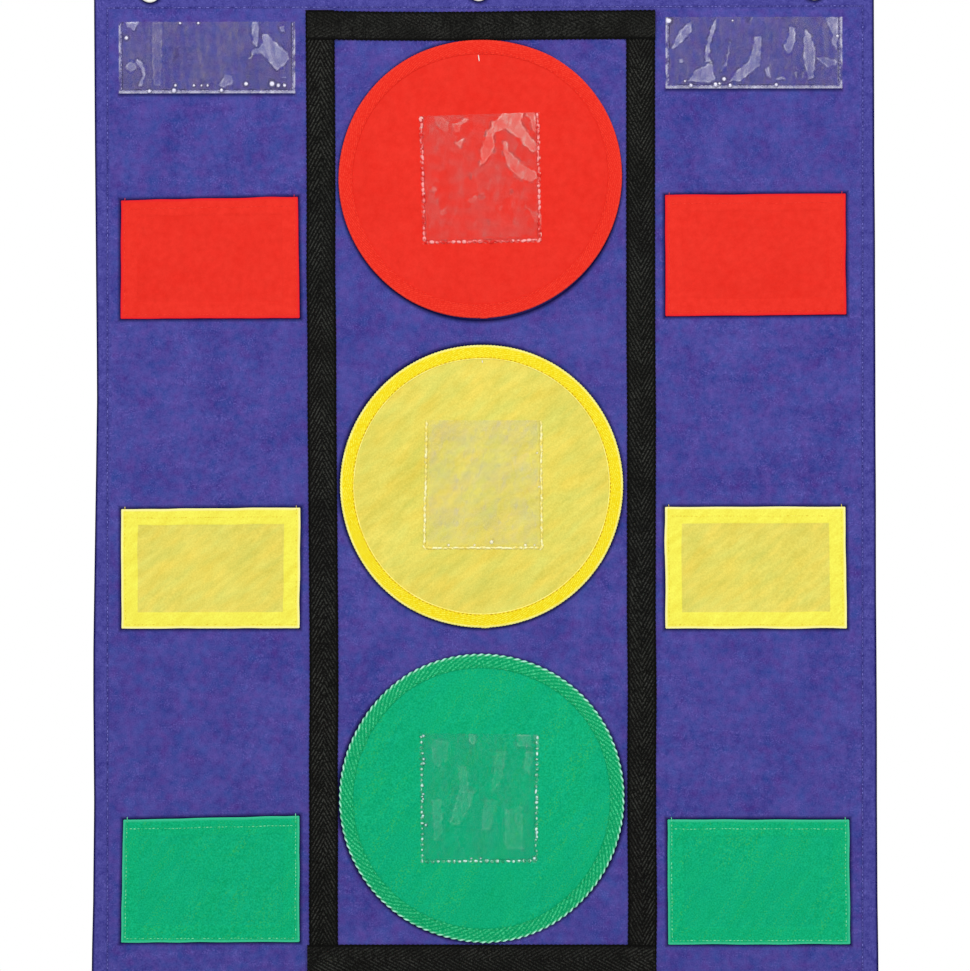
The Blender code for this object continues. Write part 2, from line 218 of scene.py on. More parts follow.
# %% [markdown]
# The finish goes over to plain white light with distance, and only for the camera's own rays. So the
# shadow under the chart stays, and no light is added to the cloth.

# %% Fade the floor
floor_colour, floor_roughness = (0.86, 0.86, 0.86, 1.0), 0.9
floor_plain_radius, floor_faded_radius = 0.2, 0.4
floor_finish = bpy.data.materials.new("pale_floor")
floor_finish.use_nodes = True
tree = floor_finish.node_tree
plain = tree.nodes["Principled BSDF"]
fill(tree, plain, {"Base Color": floor_colour, "Roughness": floor_roughness})
place = add_node(tree, "TexCoord").outputs["Object"]
distance = add_node(tree, "VectorMath", {0: place}, operation="LENGTH").outputs["Value"]
reach = {"Value": distance, "From Min": floor_plain_radius, "From Max": floor_faded_radius}
faded = add_node(tree, "MapRange", reach, interpolation_type="SMOOTHSTEP").outputs["Result"]
to_camera = calculate(tree, "MULTIPLY", faded, add_node(tree, "LightPath").outputs["Is Camera Ray"])
glow = add_node(tree, "Emission", {"Color": white, "Strength": 1.0})
mixed = add_node(tree, "MixShader", {0: to_camera, 1: plain.outputs[0], 2: glow.outputs[0]})
fill(tree, tree.nodes["Material Output"], {"Surface": mixed.outputs[0]})
floor_mesh.materials.append(floor_finish)
print(f"the floor fades from {floor_plain_radius} m to {floor_faded_radius} m")

# %% [markdown]
# ## Colours
#
# A colour picker gives the colours of a photo as 0 to 255, on the screen's curve. A shader wants
# amounts of light, so a small function turns one into the other, with the four numbers of that curve.

# %% Turn screen colours into light
straight_end, straight_slope = 0.04045, 12.92
curve_offset, curve_power = 0.055, 2.4


def seen(red, green, blue):
    """A colour as a screen shows it, 0 to 255, as the amounts of light that a shader takes."""
    light = []
    for level in (red, green, blue):
        share = level / 255
        curved = ((share + curve_offset) / (1 + curve_offset)) ** curve_power
        light.append(share / straight_slope if share < straight_end else curved)
    return (*light, 1.0)


def shades_of(colour, reach):
    """A darker and a lighter colour, that many screen levels to each side of one."""
    darker = seen(*(max(level - reach, 0) for level in colour))
    lighter = seen(*(min(level + reach, 255) for level in colour))
    return darker, lighter


print("the screen's middle grey is", round(seen(128, 128, 128)[0], 3), "of white's light")

# %% [markdown]
# ## Helpers for finishes
#
# Cloth is never one flat colour. Noise nodes give soft random clouds of any size, and because they
# fill space they need no unwrapping. Nearly all of a noise lies between 0.3 and 0.7, so that part is
# stretched over the range that is wanted. Pictures of cloth would be the other way, but nodes stay
# sharp from close by and have no seams where a mesh is cut.
#
# Some finishes change at places that only the mesh knows, such as its hem. The mesh marks these in
# attributes, which are numbers at each point, and the finish reads them.

# %% Noise, marks and relief
noise_low, noise_high = 0.3, 0.7
sharp_patches = {"low": 0.4, "high": 0.6}
noise_roughness = 0.55


def start_finish(name):
    """A new material, its node tree, its shader, and the places on the object."""
    material = bpy.data.materials.new(name)
    material.use_nodes = True
    tree = material.node_tree
    place = add_node(tree, "TexCoord").outputs["Object"]
    return material, tree, tree.nodes["Principled BSDF"], place


def add_noise(tree, place, size, detail=3.0, stretch=1.0, rise=0.0):
    """Cloudy noise whose clouds are about that many metres across.

    stretch makes the clouds that much longer, along a line that rises to the right by an angle.
    """
    turn = (0.0, -math.radians(rise), 0.0)
    inputs = {"Vector": place, "Scale": (stretch, 1.0, 1.0), "Rotation": turn}
    stretched = add_node(tree, "Mapping", inputs, vector_type="TEXTURE").outputs["Vector"]
    inputs = {"Vector": stretched, "Scale": 1 / size, "Detail": detail, "Roughness": noise_roughness}
    return add_node(tree, "TexNoise", inputs).outputs["Fac"]


def spread(tree, value, low, high, to_low=0.0, to_high=1.0):
    """Stretch the part of a value between low and high over another range."""
    inputs = {"Value": value, "From Min": low, "From Max": high, "To Min": to_low, "To Max": to_high}
    return add_node(tree, "MapRange", inputs).outputs["Result"]


def vary(tree, noise, share):
    """The share by which a noise makes a shade lighter or darker."""
    return spread(tree, noise, noise_low, noise_high, -share / 2, share / 2)


def read_marks(tree, *marks):
    """The values that the mesh has at each place for its marks."""
    return [add_node(tree, "Attribute", attribute_name=mark).outputs["Fac"] for mark in marks]


def add_relief(tree, height, depth, strength, below=None):
    """Small relief from a height between 0 and 1, on top of the relief below it."""
    inputs = {"Height": height, "Distance": depth, "Strength": strength}
    if below is not None:
        inputs["Normal"] = below
    return add_node(tree, "Bump", inputs).outputs["Normal"]


# %% [markdown]
# ## Nylon
#
# The backing and the pockets are thin coated nylon. Its threads are too fine to see in the photo,
# but they give it a fine grain, and being handled and folded leaves soft clouds and faint creases. A
# hem is two layers thick, and shows less of what is behind it, so its colour is deeper.

# %% The nylon finish
cloud_size, mottle_size, grain_size, hue_size = 30 * mm, 5 * mm, 1.0 * mm, 8 * mm
band_size, fleck_size = 6 * mm, 0.9 * mm
crease_size, crease_depth = 22 * mm, 2.0 * mm
thread_spacing, thread_depth = 0.42 * mm, 0.1 * mm
wave_period = math.pi / 10
shade_reach, hem_reach = 30, 20


def weave_height(tree, place):
    """Two sets of fine threads, one along X and one along Z."""
    inputs = {"Vector": place, "Scale": wave_period / thread_spacing}
    sets = [add_node(tree, "TexWave", inputs, bands_direction=way).outputs["Fac"] for way in ("X", "Z")]
    return calculate(tree, "ADD", *sets)


def add_flecks(tree, place, tone, fleck, stretch, rise):
    """Small flecks of a colour, in bands along a rising line."""
    bands = add_noise(tree, place, band_size, 1.0, 3 * stretch, rise)
    bands = spread(tree, bands, low=0.5, high=0.6, to_low=0.2)
    flecks = spread(tree, add_noise(tree, place, fleck_size, 0.0), low=0.54, high=0.74, to_high=0.45)
    return mix_colours(tree, calculate(tree, "MULTIPLY", bands, flecks), tone, seen(*fleck))


def nylon(name, colour, cool, warm, hem, edge, hue, clouds, mottle, grain, streaks=(1.0, 0.0), fleck=None):
    """Coated nylon in a screen colour, with a hem colour and a painted edge shade or highlight.

    clouds, mottle and grain say how much each changes the shade, and hue how much of it wanders
    between a cool and a warm colour. streaks are the stretch and the rise of these changes.
    """
    material, tree, shader, place = start_finish(name)
    clouds = vary(tree, add_noise(tree, place, cloud_size, 3.0, *streaks), clouds)
    mottle = vary(tree, add_noise(tree, place, mottle_size, 3.0, *streaks), mottle)
    grain = vary(tree, add_noise(tree, place, grain_size, 1.0), grain)
    in_hem = calculate(tree, "ADD", calculate(tree, "ADD", grain, mottle), 0.5)
    tone = mix_colours(tree, calculate(tree, "ADD", clouds, in_hem), *shades_of(colour, shade_reach))
    wander = spread(tree, add_noise(tree, place, hue_size, 3.0, *streaks), noise_low, noise_high)
    tone = mix_colours(tree, hue, tone, mix_colours(tree, wander, seen(*cool), seen(*warm)))
    is_hem, painted_edge_light = read_marks(tree, "hem", "edge")
    tone = mix_colours(tree, is_hem, tone, mix_colours(tree, in_hem, *shades_of(hem, hem_reach)))
    if fleck:
        tone = add_flecks(tree, place, tone, fleck, *streaks)
    # Along its folded edge the cloth gets painted shade on the violet and a painted highlight on the yellow
    # and green.
    tone = mix_colours(tree, painted_edge_light, tone, seen(*edge))
    creases = add_noise(tree, place, crease_size, 6.0, *streaks)
    creased = add_relief(tree, creases, crease_depth, strength=0.6)
    woven = add_relief(tree, weave_height(tree, place), thread_depth, strength=0.5, below=creased)
    fill(tree, shader, {"Base Color": tone, "Normal": woven, "Roughness": 0.6, "Specular IOR Level": 0.02})
    return material


# %% [markdown]
# The four cloths differ in colour and in how worn they are. The violet one is the most mottled. The
# yellow one is thin and streaky, and the green one has bands of paler flecks.

# %% Four cloths
# Each edge colour is painted along a folded edge: painted shade on the violet cloth, painted highlights on
# the yellow and green, and near its own colour on the red.
cloth_plans = {
    "violet": {
        "colour": (65, 64, 145), "cool": (45, 72, 152), "warm": (90, 59, 145), "hue": 0.5,
        "hem": (69, 67, 148), "edge": (4, 3, 62), "fleck": (110, 102, 188),
        "clouds": 0.55, "mottle": 0.5, "grain": 0.45,
    },
    "red": {
        "colour": (230, 42, 29), "cool": (230, 48, 35), "warm": (234, 39, 27), "hue": 0.4,
        "hem": (232, 46, 33), "edge": (232, 38, 44),
        "clouds": 0.12, "mottle": 0.2, "grain": 0.1,
    },
    "yellow": {
        "colour": (228, 213, 96), "cool": (208, 214, 102), "warm": (246, 214, 78), "hue": 0.4,
        "hem": (255, 238, 84), "edge": (254, 248, 166), "streaks": (3.0, 38.0),
        "clouds": 0.24, "mottle": 0.4, "grain": 0.34,
    },
    "green": {
        "colour": (0, 171, 117), "cool": (0, 170, 124), "warm": (2, 174, 108), "hue": 0.4,
        "hem": (2, 174, 116), "edge": (64, 196, 150), "streaks": (3.0, 56.0), "fleck": (66, 190, 84),
        "clouds": 0.08, "mottle": 0.16, "grain": 0.7,
    },
}
cloths = {colour: nylon(colour + "_cloth", **plan) for colour, plan in cloth_plans.items()}
print("nylon in", ", ".join(cloths))

# %% [markdown]
# ## Twill tape
#
# The frame and the bindings are twill: their threads make slanting ridges. The ridges here are part
# of the mesh, because they show at the edges too. The mesh keeps the height of its ridges in an
# attribute, and this finish paints shade in the grooves and a highlight on the crests. Worn threads
# show at the crests, and a painted highlight runs along where the mesh marks a binding's rim or lip.

# %% The twill finish
twill_patch, wear_patch, pressed_patch = 1.0 * mm, 0.9 * mm, 22 * mm
yarn_size, yarn_depth = 0.35 * mm, 0.12 * mm


def twill(name, painted_shade, painted_highlight, worn_and_highlight, pressed=0.0):
    """Twill tape in screen colours: painted groove shade, painted crest highlights and worn threads.

    pressed is the share of the ridges' painted contrast lost where the tape was pressed flat.
    """
    material, tree, shader, place = start_finish(name)
    ridge, rim_and_lip_highlight = read_marks(tree, "ridge", "rim_and_lip_highlight")
    uneven = spread(tree, add_noise(tree, place, twill_patch, 2.0), **sharp_patches)
    flat = add_noise(tree, place, pressed_patch, 2.0)
    flat = spread(tree, flat, **sharp_patches, to_low=1.0, to_high=1.0 - pressed)
    shown = calculate(tree, "MULTIPLY", ridge, calculate(tree, "MULTIPLY", uneven, flat))
    # The grooves get painted shade and the crests a painted highlight.
    colour = mix_colours(tree, shown, seen(*painted_shade), seen(*painted_highlight))
    wear_and_highlight = spread(tree, add_noise(tree, place, wear_patch, 2.0), low=0.6, high=0.8, to_high=0.8)
    # Random worn threads on the crests, and the painted highlight of the rims and lips.
    wear_and_highlight = calculate(tree, "MAXIMUM", calculate(tree, "MULTIPLY", wear_and_highlight, ridge), rim_and_lip_highlight)
    colour = mix_colours(tree, wear_and_highlight, colour, seen(*worn_and_highlight))
    yarn = add_relief(tree, add_noise(tree, place, yarn_size, 2.0), yarn_depth, strength=0.5)
    fill(tree, shader, {"Base Color": colour, "Normal": yarn, "Roughness": 0.85, "Specular IOR Level": 0.03})
    return material


# Groove colours are painted shade, crest colours painted highlights; the bindings' last colour is also their
# painted rim highlight.
black_tape = twill("black_tape", (13, 13, 12), (68, 69, 65), (92, 91, 86), pressed=0.5)
binding_tapes = {
    "red": twill("red_binding_tape", (224, 42, 30), (246, 70, 52), (248, 88, 74)),
    "yellow": twill("yellow_binding_tape", (235, 209, 16), (255, 255, 86), (255, 251, 160)),
    "green": twill("green_binding_tape", (2, 152, 93), (80, 230, 160), (190, 250, 230)),
}
print("twill in black,", ", ".join(binding_tapes))

# %% [markdown]
# ## Thread
#
# Sewing thread is plain, with a little sheen and a fine twist. Each thread has a darker and a lighter
# colour, in patches that are longer than a stitch, so that some stitches stand out. The stitches of
# the windows differ most: their lighter colour is a painted highlight, where some of them catch the
# light through the film.

# %% Threads
thread_colours = {
    "violet": [(46, 44, 124), (128, 126, 210)],
    "black": [(6, 6, 6), (30, 30, 28)],
    "film": [(120, 114, 190), (196, 194, 226)],
    "white": [(238, 236, 228), (252, 251, 246)],
    "red": [(226, 44, 34), (242, 70, 54)],
    "yellow": [(226, 194, 30), (255, 246, 110)],
    "green": [(30, 184, 118), (140, 238, 186)],
    "red_seam": [(222, 40, 32), (242, 62, 48)],
    "yellow_seam": [(192, 132, 8), (238, 190, 34)],
    "green_seam": [(0, 140, 80), (40, 196, 126)],
    # The lighter colours of the window threads are painted highlights.
    "red_window": [(224, 48, 42), (255, 172, 170)],
    "yellow_window": [(244, 226, 110), (255, 252, 196)],
    "green_window": [(20, 160, 112), (222, 255, 248)],
}
thread_patches = {"red_window": 5 * mm, "yellow_window": 4 * mm, "green_window": 4 * mm}
usual_patch = 2.0 * mm
twist_size, twist_depth = 0.2 * mm, 0.08 * mm


def thread_finish(name, colour, light, patch):
    """Sewing thread that is lighter in patches of about that size."""
    material, tree, shader, place = start_finish(name)
    uneven = spread(tree, add_noise(tree, place, patch, 2.0), **sharp_patches)
    shown = mix_colours(tree, uneven, seen(*colour), seen(*light))
    twist = add_relief(tree, add_noise(tree, place, twist_size, 1.0), twist_depth, strength=0.4)
    fill(tree, shader, {"Base Color": shown, "Normal": twist, "Roughness": 0.6, "Specular IOR Level": 0.1})
    return material


threads = {
    use: thread_finish(use + "_thread", *colours, thread_patches.get(use, usual_patch))
    for use, colours in thread_colours.items()
}
print("threads made:", len(threads))

# %% [markdown]
# ## Clear film
#
# The film is clear vinyl that handling has creased: it is nearly see-through, and more solid where
# it is marked as hazy. The marks also hold painted light: reflections and glints painted pale, and
# shade painted dark in folds. Its haze takes on some of the colour behind it, so each place has its
# own colours for plain haze, for the painted reflection where it shines and for the painted shade in
# a fold. A ray passes two faces of the film, so each face gets half of the haze. Glass that bends
# light would be the other way, but a film this thin bends none.

# %% The film finish
# The shining colours are painted reflections and glints, the shaded ones painted shade in folds.
film_colours = {
    "sleeve": {"dull": (146, 137, 162), "shining": (232, 230, 252), "shaded": (20, 18, 84)},
    "red": {"dull": (164, 160, 156), "shining": (255, 200, 188), "shaded": (170, 8, 8)},
    "yellow": {"dull": (214, 212, 208), "shining": (255, 251, 210), "shaded": (188, 166, 58)},
    "green": {"dull": (96, 101, 150), "shining": (206, 255, 244), "shaded": (0, 108, 72)},
}
haze_cloud, scratch_size, scuff_size, scuff_depth = 4 * mm, 2.6 * mm, 3 * mm, 0.3 * mm
scratch_stretch, scratch_rise = 3.5, 75.0
most_haze = 0.95


def clear_film_finish(name, dull, shining, shaded):
    """Creased clear vinyl. The mesh marks its haze, its painted reflections and its painted shade."""
    material, tree, shader, place = start_finish(name)
    haze_and_painted_light, shine, shade = read_marks(tree, "haze_and_painted_light", "shine", "shade")
    cloudy = add_noise(tree, place, haze_cloud, 5.0)
    cloudy = spread(tree, cloudy, noise_low, noise_high, to_low=0.7, to_high=1.25)
    scratches = add_noise(tree, place, scratch_size, 3.0, scratch_stretch, scratch_rise)
    scratched = spread(tree, scratches, low=0.54, high=0.7, to_high=0.8)
    hazy = calculate(tree, "MULTIPLY", haze_and_painted_light, calculate(tree, "ADD", cloudy, scratched))
    each_face = calculate(tree, "MINIMUM", calculate(tree, "MULTIPLY", hazy, 0.5), most_haze)
    # Painted reflection where the film shines, then painted shade where it is shaded.
    lit = mix_colours(tree, shine, seen(*dull), seen(*shining))
    colour = mix_colours(tree, shade, lit, seen(*shaded))
    scuffs = add_relief(tree, add_noise(tree, place, scuff_size, 4.0), scuff_depth, strength=0.25)
    fill(tree, shader, {"Base Color": colour, "Normal": scuffs, "Alpha": each_face})
    fill(tree, shader, {"Roughness": 0.16, "IOR": 1.5})
    return material


films = {use: clear_film_finish(use + "_film", **colours) for use, colours in film_colours.items()}
print("film for", ", ".join(films))

# %% [markdown]
# ## Metal
#
# The eyelets are plated brass. A metal shows almost only what it mirrors, so its look comes from its
# roughness: noise makes it duller in places, and long fine noise is scratches.

# %% The metal finish
bright_colour, dull_colour = (252, 250, 240), (232, 228, 214)
tarnish_size = 1.5 * mm
fine_scratch, fine_scratch_depth = 0.3 * mm, 0.03 * mm
fine_scratch_stretch, fine_scratch_rise = 5.0, 20.0


def bright_metal_finish():
    """Plated brass, dulled a little by handling."""
    material, tree, shader, place = start_finish("bright_metal")
    tarnish = add_noise(tree, place, tarnish_size, 4.0)
    share = spread(tree, tarnish, low=0.4, high=0.7)
    colour = mix_colours(tree, share, seen(*bright_colour), seen(*dull_colour))
    rough = spread(tree, tarnish, noise_low, noise_high, to_low=0.16, to_high=0.34)
    scratches = add_noise(tree, place, fine_scratch, 2.0, fine_scratch_stretch, fine_scratch_rise)
    relief = add_relief(tree, scratches, fine_scratch_depth, strength=0.15)
    fill(tree, shader, {"Base Color": colour, "Normal": relief, "Roughness": rough, "Metallic": 1.0})
    return material


bright_metal = bright_metal_finish()
print("finishes made:", len(bpy.data.materials))

# %% [markdown]
# ## How hanging cloth lies
#
# Cloth that hangs is never quite flat. Everything on the chart is sewn to the backing, so all of it
# has to follow the same waves, or a pocket would sink into the backing. One function gives the waves
# at any place, and each piece adds its own lift to it. A cloth simulation could make the waves too,
# but then each small piece would have to be fitted to its result.
#
# A sum of cosine waves in random directions looks random and is smooth. The random numbers come from
# a seed, so that every run gives the same cloth. A lift is given by a function of the place, and most
# surfaces have the same lift all over.

# %% Waves in the cloth
wave_count = 9
shortest_wave, longest_wave = 0.7, 1.5
hang = {"seed": 3, "size": 0.33, "stretch": 1.7, "height": 0.8 * mm}
sag = {"seed": 5, "size": 0.07, "height": 0.13 * mm}


def ripple(x, z, seed, size, stretch=1.0, height=1.0):
    """Smooth random waves up to about that height, whose crests are about one size apart."""
    draw = np.random.default_rng(seed)
    angles = draw.uniform(0, math.pi, wave_count)
    starts = draw.uniform(0, 2 * math.pi, wave_count)
    sizes = draw.uniform(shortest_wave, longest_wave, wave_count) * size
    total = 0.0
    for angle, start, each in zip(angles, starts, sizes):
        along = x * math.cos(angle) + z * math.sin(angle) / stretch
        total = total + np.cos(2 * math.pi * along / each + start)
    return height * (total / math.sqrt(wave_count))


def smooth_step(value, low, high):
    """0 below low, 1 above high, and a smooth rise between them."""
    share = np.clip((value - low) / (high - low), 0, 1)
    return share * share * (3 - 2 * share)


def wave(turns):
    """A wave between 0 and 1 that has its crests at whole turns."""
    return 0.5 + 0.5 * np.cos(2 * math.pi * turns)


def drape(x, z):
    """How far the hanging cloth stands out at a place, in metres."""
    return ripple(x, z, **hang) + ripple(x, z, **sag)


def flat_at(lift):
    """The lift of a surface that is flat, apart from the cloth's waves."""
    return lambda x, z: np.full_like(x, lift)


sample = drape(*np.meshgrid(np.linspace(-0.25, 0.25, 60), np.linspace(-0.65, 0.01, 60)))
print(f"the cloth waves from {sample.min() / mm:.2f} to {sample.max() / mm:.2f} mm")

# %% [markdown]
# ## From grids of points to pieces
#
# Every sheet here is a grid of points. numpy works out all the points at once, which is far faster
# than a loop over vertices. A Solidify modifier then gives the sheet its thickness, behind the face
# that was drawn. The modifier is applied, so that the mesh is what it looks like.

# %% Helpers for meshes
sharp_angle = math.radians(50)


def grid_faces(rows, columns, wrap_rows=False, wrap_columns=False):
    """Faces between neighbouring points of a grid. The front is where X and Z are right and up."""
    row = np.arange(rows if wrap_rows else rows - 1)[:, None]
    column = np.arange(columns if wrap_columns else columns - 1)[None, :]
    low, high = row * columns, (row + 1) % rows * columns
    beside = (column + 1) % columns
    corners = [low + column, low + beside, high + beside, high + column]
    return np.stack(np.broadcast_arrays(*corners), axis=-1).reshape(-1, 4)


def make_piece(name, points, faces, finish, marks=None):
    """A mesh object from points and faces, with a value at each point for each of its marks."""
    mesh = bpy.data.meshes.new(name)
    points = np.asarray(points, float).reshape(-1, 3).tolist()
    mesh.from_pydata(points, [], [list(face) for face in faces])
    mesh.materials.append(finish)
    for mark, values in (marks or {}).items():
        attribute = mesh.attributes.new(mark, "FLOAT", "POINT")
        attribute.data.foreach_set("value", np.asarray(values, np.float32).ravel())
    piece = bpy.data.objects.new(name, mesh)
    bpy.context.scene.collection.objects.link(piece)
    return piece


def stand(x, lift, z):
    """Points in space from places on the chart and their lifts, with the cloth's waves added."""
    return np.stack([x, -(lift + drape(x, z)), z], axis=-1)


def smooth(piece):
    """Shade a piece smoothly, except at its real corners."""
    piece.data.shade_smooth()
    piece.data.set_sharp_from_angle(angle=sharp_angle)
    return piece


def thicken(piece, thickness):
    """Give a drawn sheet its thickness, behind its front face."""
    solidify = piece.modifiers.new("thickness", "SOLIDIFY")
    solidify.thickness = thickness
    solidify.offset = -1.0
    shaped = piece.evaluated_get(bpy.context.evaluated_depsgraph_get())
    name = piece.data.name
    piece.data = bpy.data.meshes.new_from_object(shaped)
    piece.data.name = name
    piece.modifiers.clear()
    return smooth(piece)


def bind(piece, slot, *nodes):
    """A finished piece rides on the chart and stands for its CAD nodes, which are hidden. slot is not used.
    """
    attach(piece, "chart")
    if nodes:
        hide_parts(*nodes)
    return piece


# %% [markdown]
# ## Sheets with folded hems
#
# A hem is the sheet's own edge, folded behind it. So the grid of a hemmed sheet runs past the edge:
# round a half turn, and back behind the sheet. One list of places and depths for the columns and one
# for the rows describe all four folds. Two columns stand close together where the hem ends, so that
# its step is sharp.

# %% Fold a hem
cloth_thickness = 0.35 * mm
fold_radius = 0.36 * mm
fold_steps = 4
step_half = 0.3 * mm
edge_core, edge_fade = 0.6 * mm, 1.9 * mm


def back_of_hem(hem, spacing):
    """Places along the folded part of a hem, from its fold to its end."""
    return np.linspace(fold_radius, hem, max(2, round(hem / spacing)) + 1)[1:]


def front_places(length, low_hem, high_hem, spacing):
    """Places along the front of a sheet, with more of them at its edges and where the hems end."""
    middle = np.linspace(fold_radius, length - fold_radius, max(2, round(length / spacing)) + 1)
    low, high = ([edge_core, edge_fade, hem - step_half, hem + step_half] for hem in (low_hem, high_hem))
    extra = np.array([*low, *(length - place for place in high)])
    beside = np.min(np.abs(middle[:, None] - extra), axis=1) < 2 * step_half
    beside[[0, -1]] = False
    return np.sort(np.concatenate([middle[~beside], extra]))


def fold_line(length, low_hem, high_hem, spacing):
    """Places along a sheet and depths behind it, from the end of one hem to the end of the other."""
    turns = np.linspace(0, math.pi, fold_steps + 1)[1:]
    curve_place = fold_radius * (1 - np.sin(turns))
    curve_depth = fold_radius * (1 - np.cos(turns))
    front = front_places(length, low_hem, high_hem, spacing)
    low, high = back_of_hem(low_hem, spacing), back_of_hem(high_hem, spacing)
    behind = 2 * fold_radius
    places = [low[::-1], curve_place[::-1], front, length - curve_place, length - high]
    depths = [0 * low + behind, curve_depth[::-1], 0 * front, curve_depth, 0 * high + behind]
    first = len(low) + fold_steps
    return np.concatenate(places), np.concatenate(depths), (first, first + len(front) - 1)


across, depth, (first, last) = fold_line(80 * mm, 10 * mm, 10 * mm, 3 * mm)
print(f"80 mm of cloth with two 10 mm hems takes {len(across)} columns, {last - first + 1} in front")

# %% [markdown]
# At the corners a real hem is trimmed, because four layers would be too thick. So the side hems stop
# short of the top and bottom ones here: their faces are left out there. The sheet marks where its hem
# and its edge are, for the nylon finish to read.

# %% Make a hemmed sheet
def hem_faces(v, height, hems, columns, rows):
    """The faces of a hemmed sheet's grid, without those of its side hems at the corners."""
    (first_column, last_column), (first_row, last_row) = columns, rows
    faces = grid_faces(*v.shape)
    row, column = np.divmod(faces[:, 0], v.shape[1])
    level = v.ravel()[faces[:, 0]]
    in_rows = (row >= first_row) & (row < last_row)
    between_hems = in_rows & (level > hems["bottom"]) & (level < height - hems["top"])
    in_front = (column >= first_column) & (column < last_column)
    turning = (column >= first_column - fold_steps) & (column < last_column + fold_steps) & in_rows
    return faces[in_front | between_hems | turning]


def hemmed_sheet(name, size, hems, spacing, shape, finish):
    """A sheet with hems all round. shape gives x, lift and z in the chart for a place on it."""
    across, across_depth, columns = fold_line(size[0], hems["left"], hems["right"], spacing)
    up, up_depth, rows = fold_line(size[1], hems["bottom"], hems["top"], spacing)
    u, v = np.meshgrid(across, up)
    x, lift, z = shape(u, v)
    from_edges = [u, size[0] - u, v, size[1] - v]
    hem_widths = [hems[side] for side in ("left", "right", "bottom", "top")]
    inside = np.minimum.reduce([place - hem for place, hem in zip(from_edges, hem_widths)])
    marks = {
        "hem": 1 - smooth_step(inside, -step_half, step_half),
        # The nylon finish paints shade or a highlight where this edge mark is.
        "edge": 1 - smooth_step(np.minimum.reduce(from_edges), edge_core, edge_fade),
    }
    points = stand(x, lift - across_depth[None, :] - up_depth[:, None], z)
    faces = hem_faces(v, size[1], hems, columns, rows)
    return thicken(make_piece(name, points, faces, finish, marks), cloth_thickness)


# %% [markdown]
# ## The backing panel
#
# The backing is one sheet of violet nylon, hemmed all round. Its sides bow a little, as the photo
# shows: widths at a few heights of the chart say how much, and np.interp fills in between them. The
# pull fades out towards the middle. A lattice could bend the sheet too, but not after measured widths.

# %% Cut the backing
chart_low, chart_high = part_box("backing_panel")
chart_width = chart_high[0] - chart_low[0]
chart_height = chart_high[2] - chart_low[2]
backing_hems = {"left": 9.8 * mm, "right": 9.8 * mm, "bottom": 9.8 * mm, "top": 21.4 * mm}
backing_spacing = 3.2 * mm
bow_start = 0.12
bow_heights = (
    np.array([-650, -624, -592, -527, -461, -429, -396, -331, -266, -234, -168, -104, -15, 5]) * mm
)
left_bow = (
    np.array([-2.1, -1.8, -1.1, -0.5, -1.05, -1.0, -0.55, 0.5, 1.4, 1.25, 0.65, 0.05, -0.45, -0.5]) * mm
)
right_bow = (
    np.array([2.2, 2.0, 1.5, 1.15, 1.05, 0.8, 0.55, 0.4, 0.1, 0.0, -0.2, -0.7, -1.0, -1.1]) * mm
)


def backing_shape(u, v):
    """Where each place on the flat backing hangs."""
    x, z = chart_low[0] + u, chart_low[2] + v
    left_pull = np.interp(z, bow_heights, left_bow) * smooth_step(-x, bow_start, -chart_low[0])
    right_pull = np.interp(z, bow_heights, right_bow) * smooth_step(x, bow_start, chart_high[0])
    return x + left_pull + right_pull, np.zeros_like(x), z


backing_lift = flat_at(0.0)
size = (chart_width, chart_height)
backing = hemmed_sheet("backing_cloth", size, backing_hems, backing_spacing, backing_shape, cloths["violet"])
print(f"backing {chart_width / mm:.1f} x {chart_height / mm:.1f} mm, {len(backing.data.polygons)} faces")

# %% [markdown]
# The eyelets go through the top hem, so both layers of cloth have a round hole there. The points
# inside a hole are deleted, and those left on its rim are moved onto a circle. A Boolean modifier
# could cut the holes too, but it leaves long thin faces. Their edge hides under the eyelet.

# %% Open the eyelet holes
hole_radius, hole_reach = 4.4 * mm, 4.6 * mm
snap_reach = 9.5 * mm
eyelet_slips = {"left": -0.5 * mm, "centre": 0.6 * mm, "right": 1.1 * mm}
eyelet_places = {}
for side, slip in eyelet_slips.items():
    low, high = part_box(side + "_eyelet")
    eyelet_places[side] = ((low[0] + high[0]) / 2, slip)
cut = bmesh.new()
cut.from_mesh(backing.data)
for hole_x, hole_z in eyelet_places.values():
    inside = [v for v in cut.verts if math.hypot(v.co.x - hole_x, v.co.z - hole_z) < hole_reach]
    bmesh.ops.delete(cut, geom=inside, context="VERTS")
    for vertex in cut.verts:
        away = math.hypot(vertex.co.x - hole_x, vertex.co.z - hole_z)
        if vertex.is_boundary and away < snap_reach:
            vertex.co.x = hole_x + (vertex.co.x - hole_x) * hole_radius / away
            vertex.co.z = hole_z + (vertex.co.z - hole_z) * hole_radius / away
cut.to_mesh(backing.data)
cut.free()
bind(backing, "violet_cloth", "backing_panel")
print("holes at", {side: round(place[0] / mm, 1) for side, place in eyelet_places.items()}, "mm")

# %% [markdown]
# ## Stitches
#
# Sewn stitches are what makes cloth look sewn. Each one here is a short piece of thread that rises
# out of the cloth and sinks back into it, and all the stitches of a seam are one mesh. First a seam's
# line is walked at even steps, which gives the middle and the direction of each stitch.

# %% Walk along a seam
def along_run(run, pitch):
    """The middles and directions of stitches along a line of x and z points."""
    run = np.asarray(run, float)
    steps = np.hypot(*np.diff(run, axis=0).T)
    marks = np.concatenate([[0], np.cumsum(steps)])
    count = max(1, round(marks[-1] / pitch))
    middles = (np.arange(count) + 0.5) * marks[-1] / count
    reach = marks[-1] / count / 4
    behind, place, ahead = (
        np.stack([np.interp(middles + shift, marks, run[:, axis]) for axis in (0, 1)], 1)
        for shift in (-reach, 0.0, reach)
    )
    way = ahead - behind
    return place, way / np.linalg.norm(way, axis=1)[:, None]


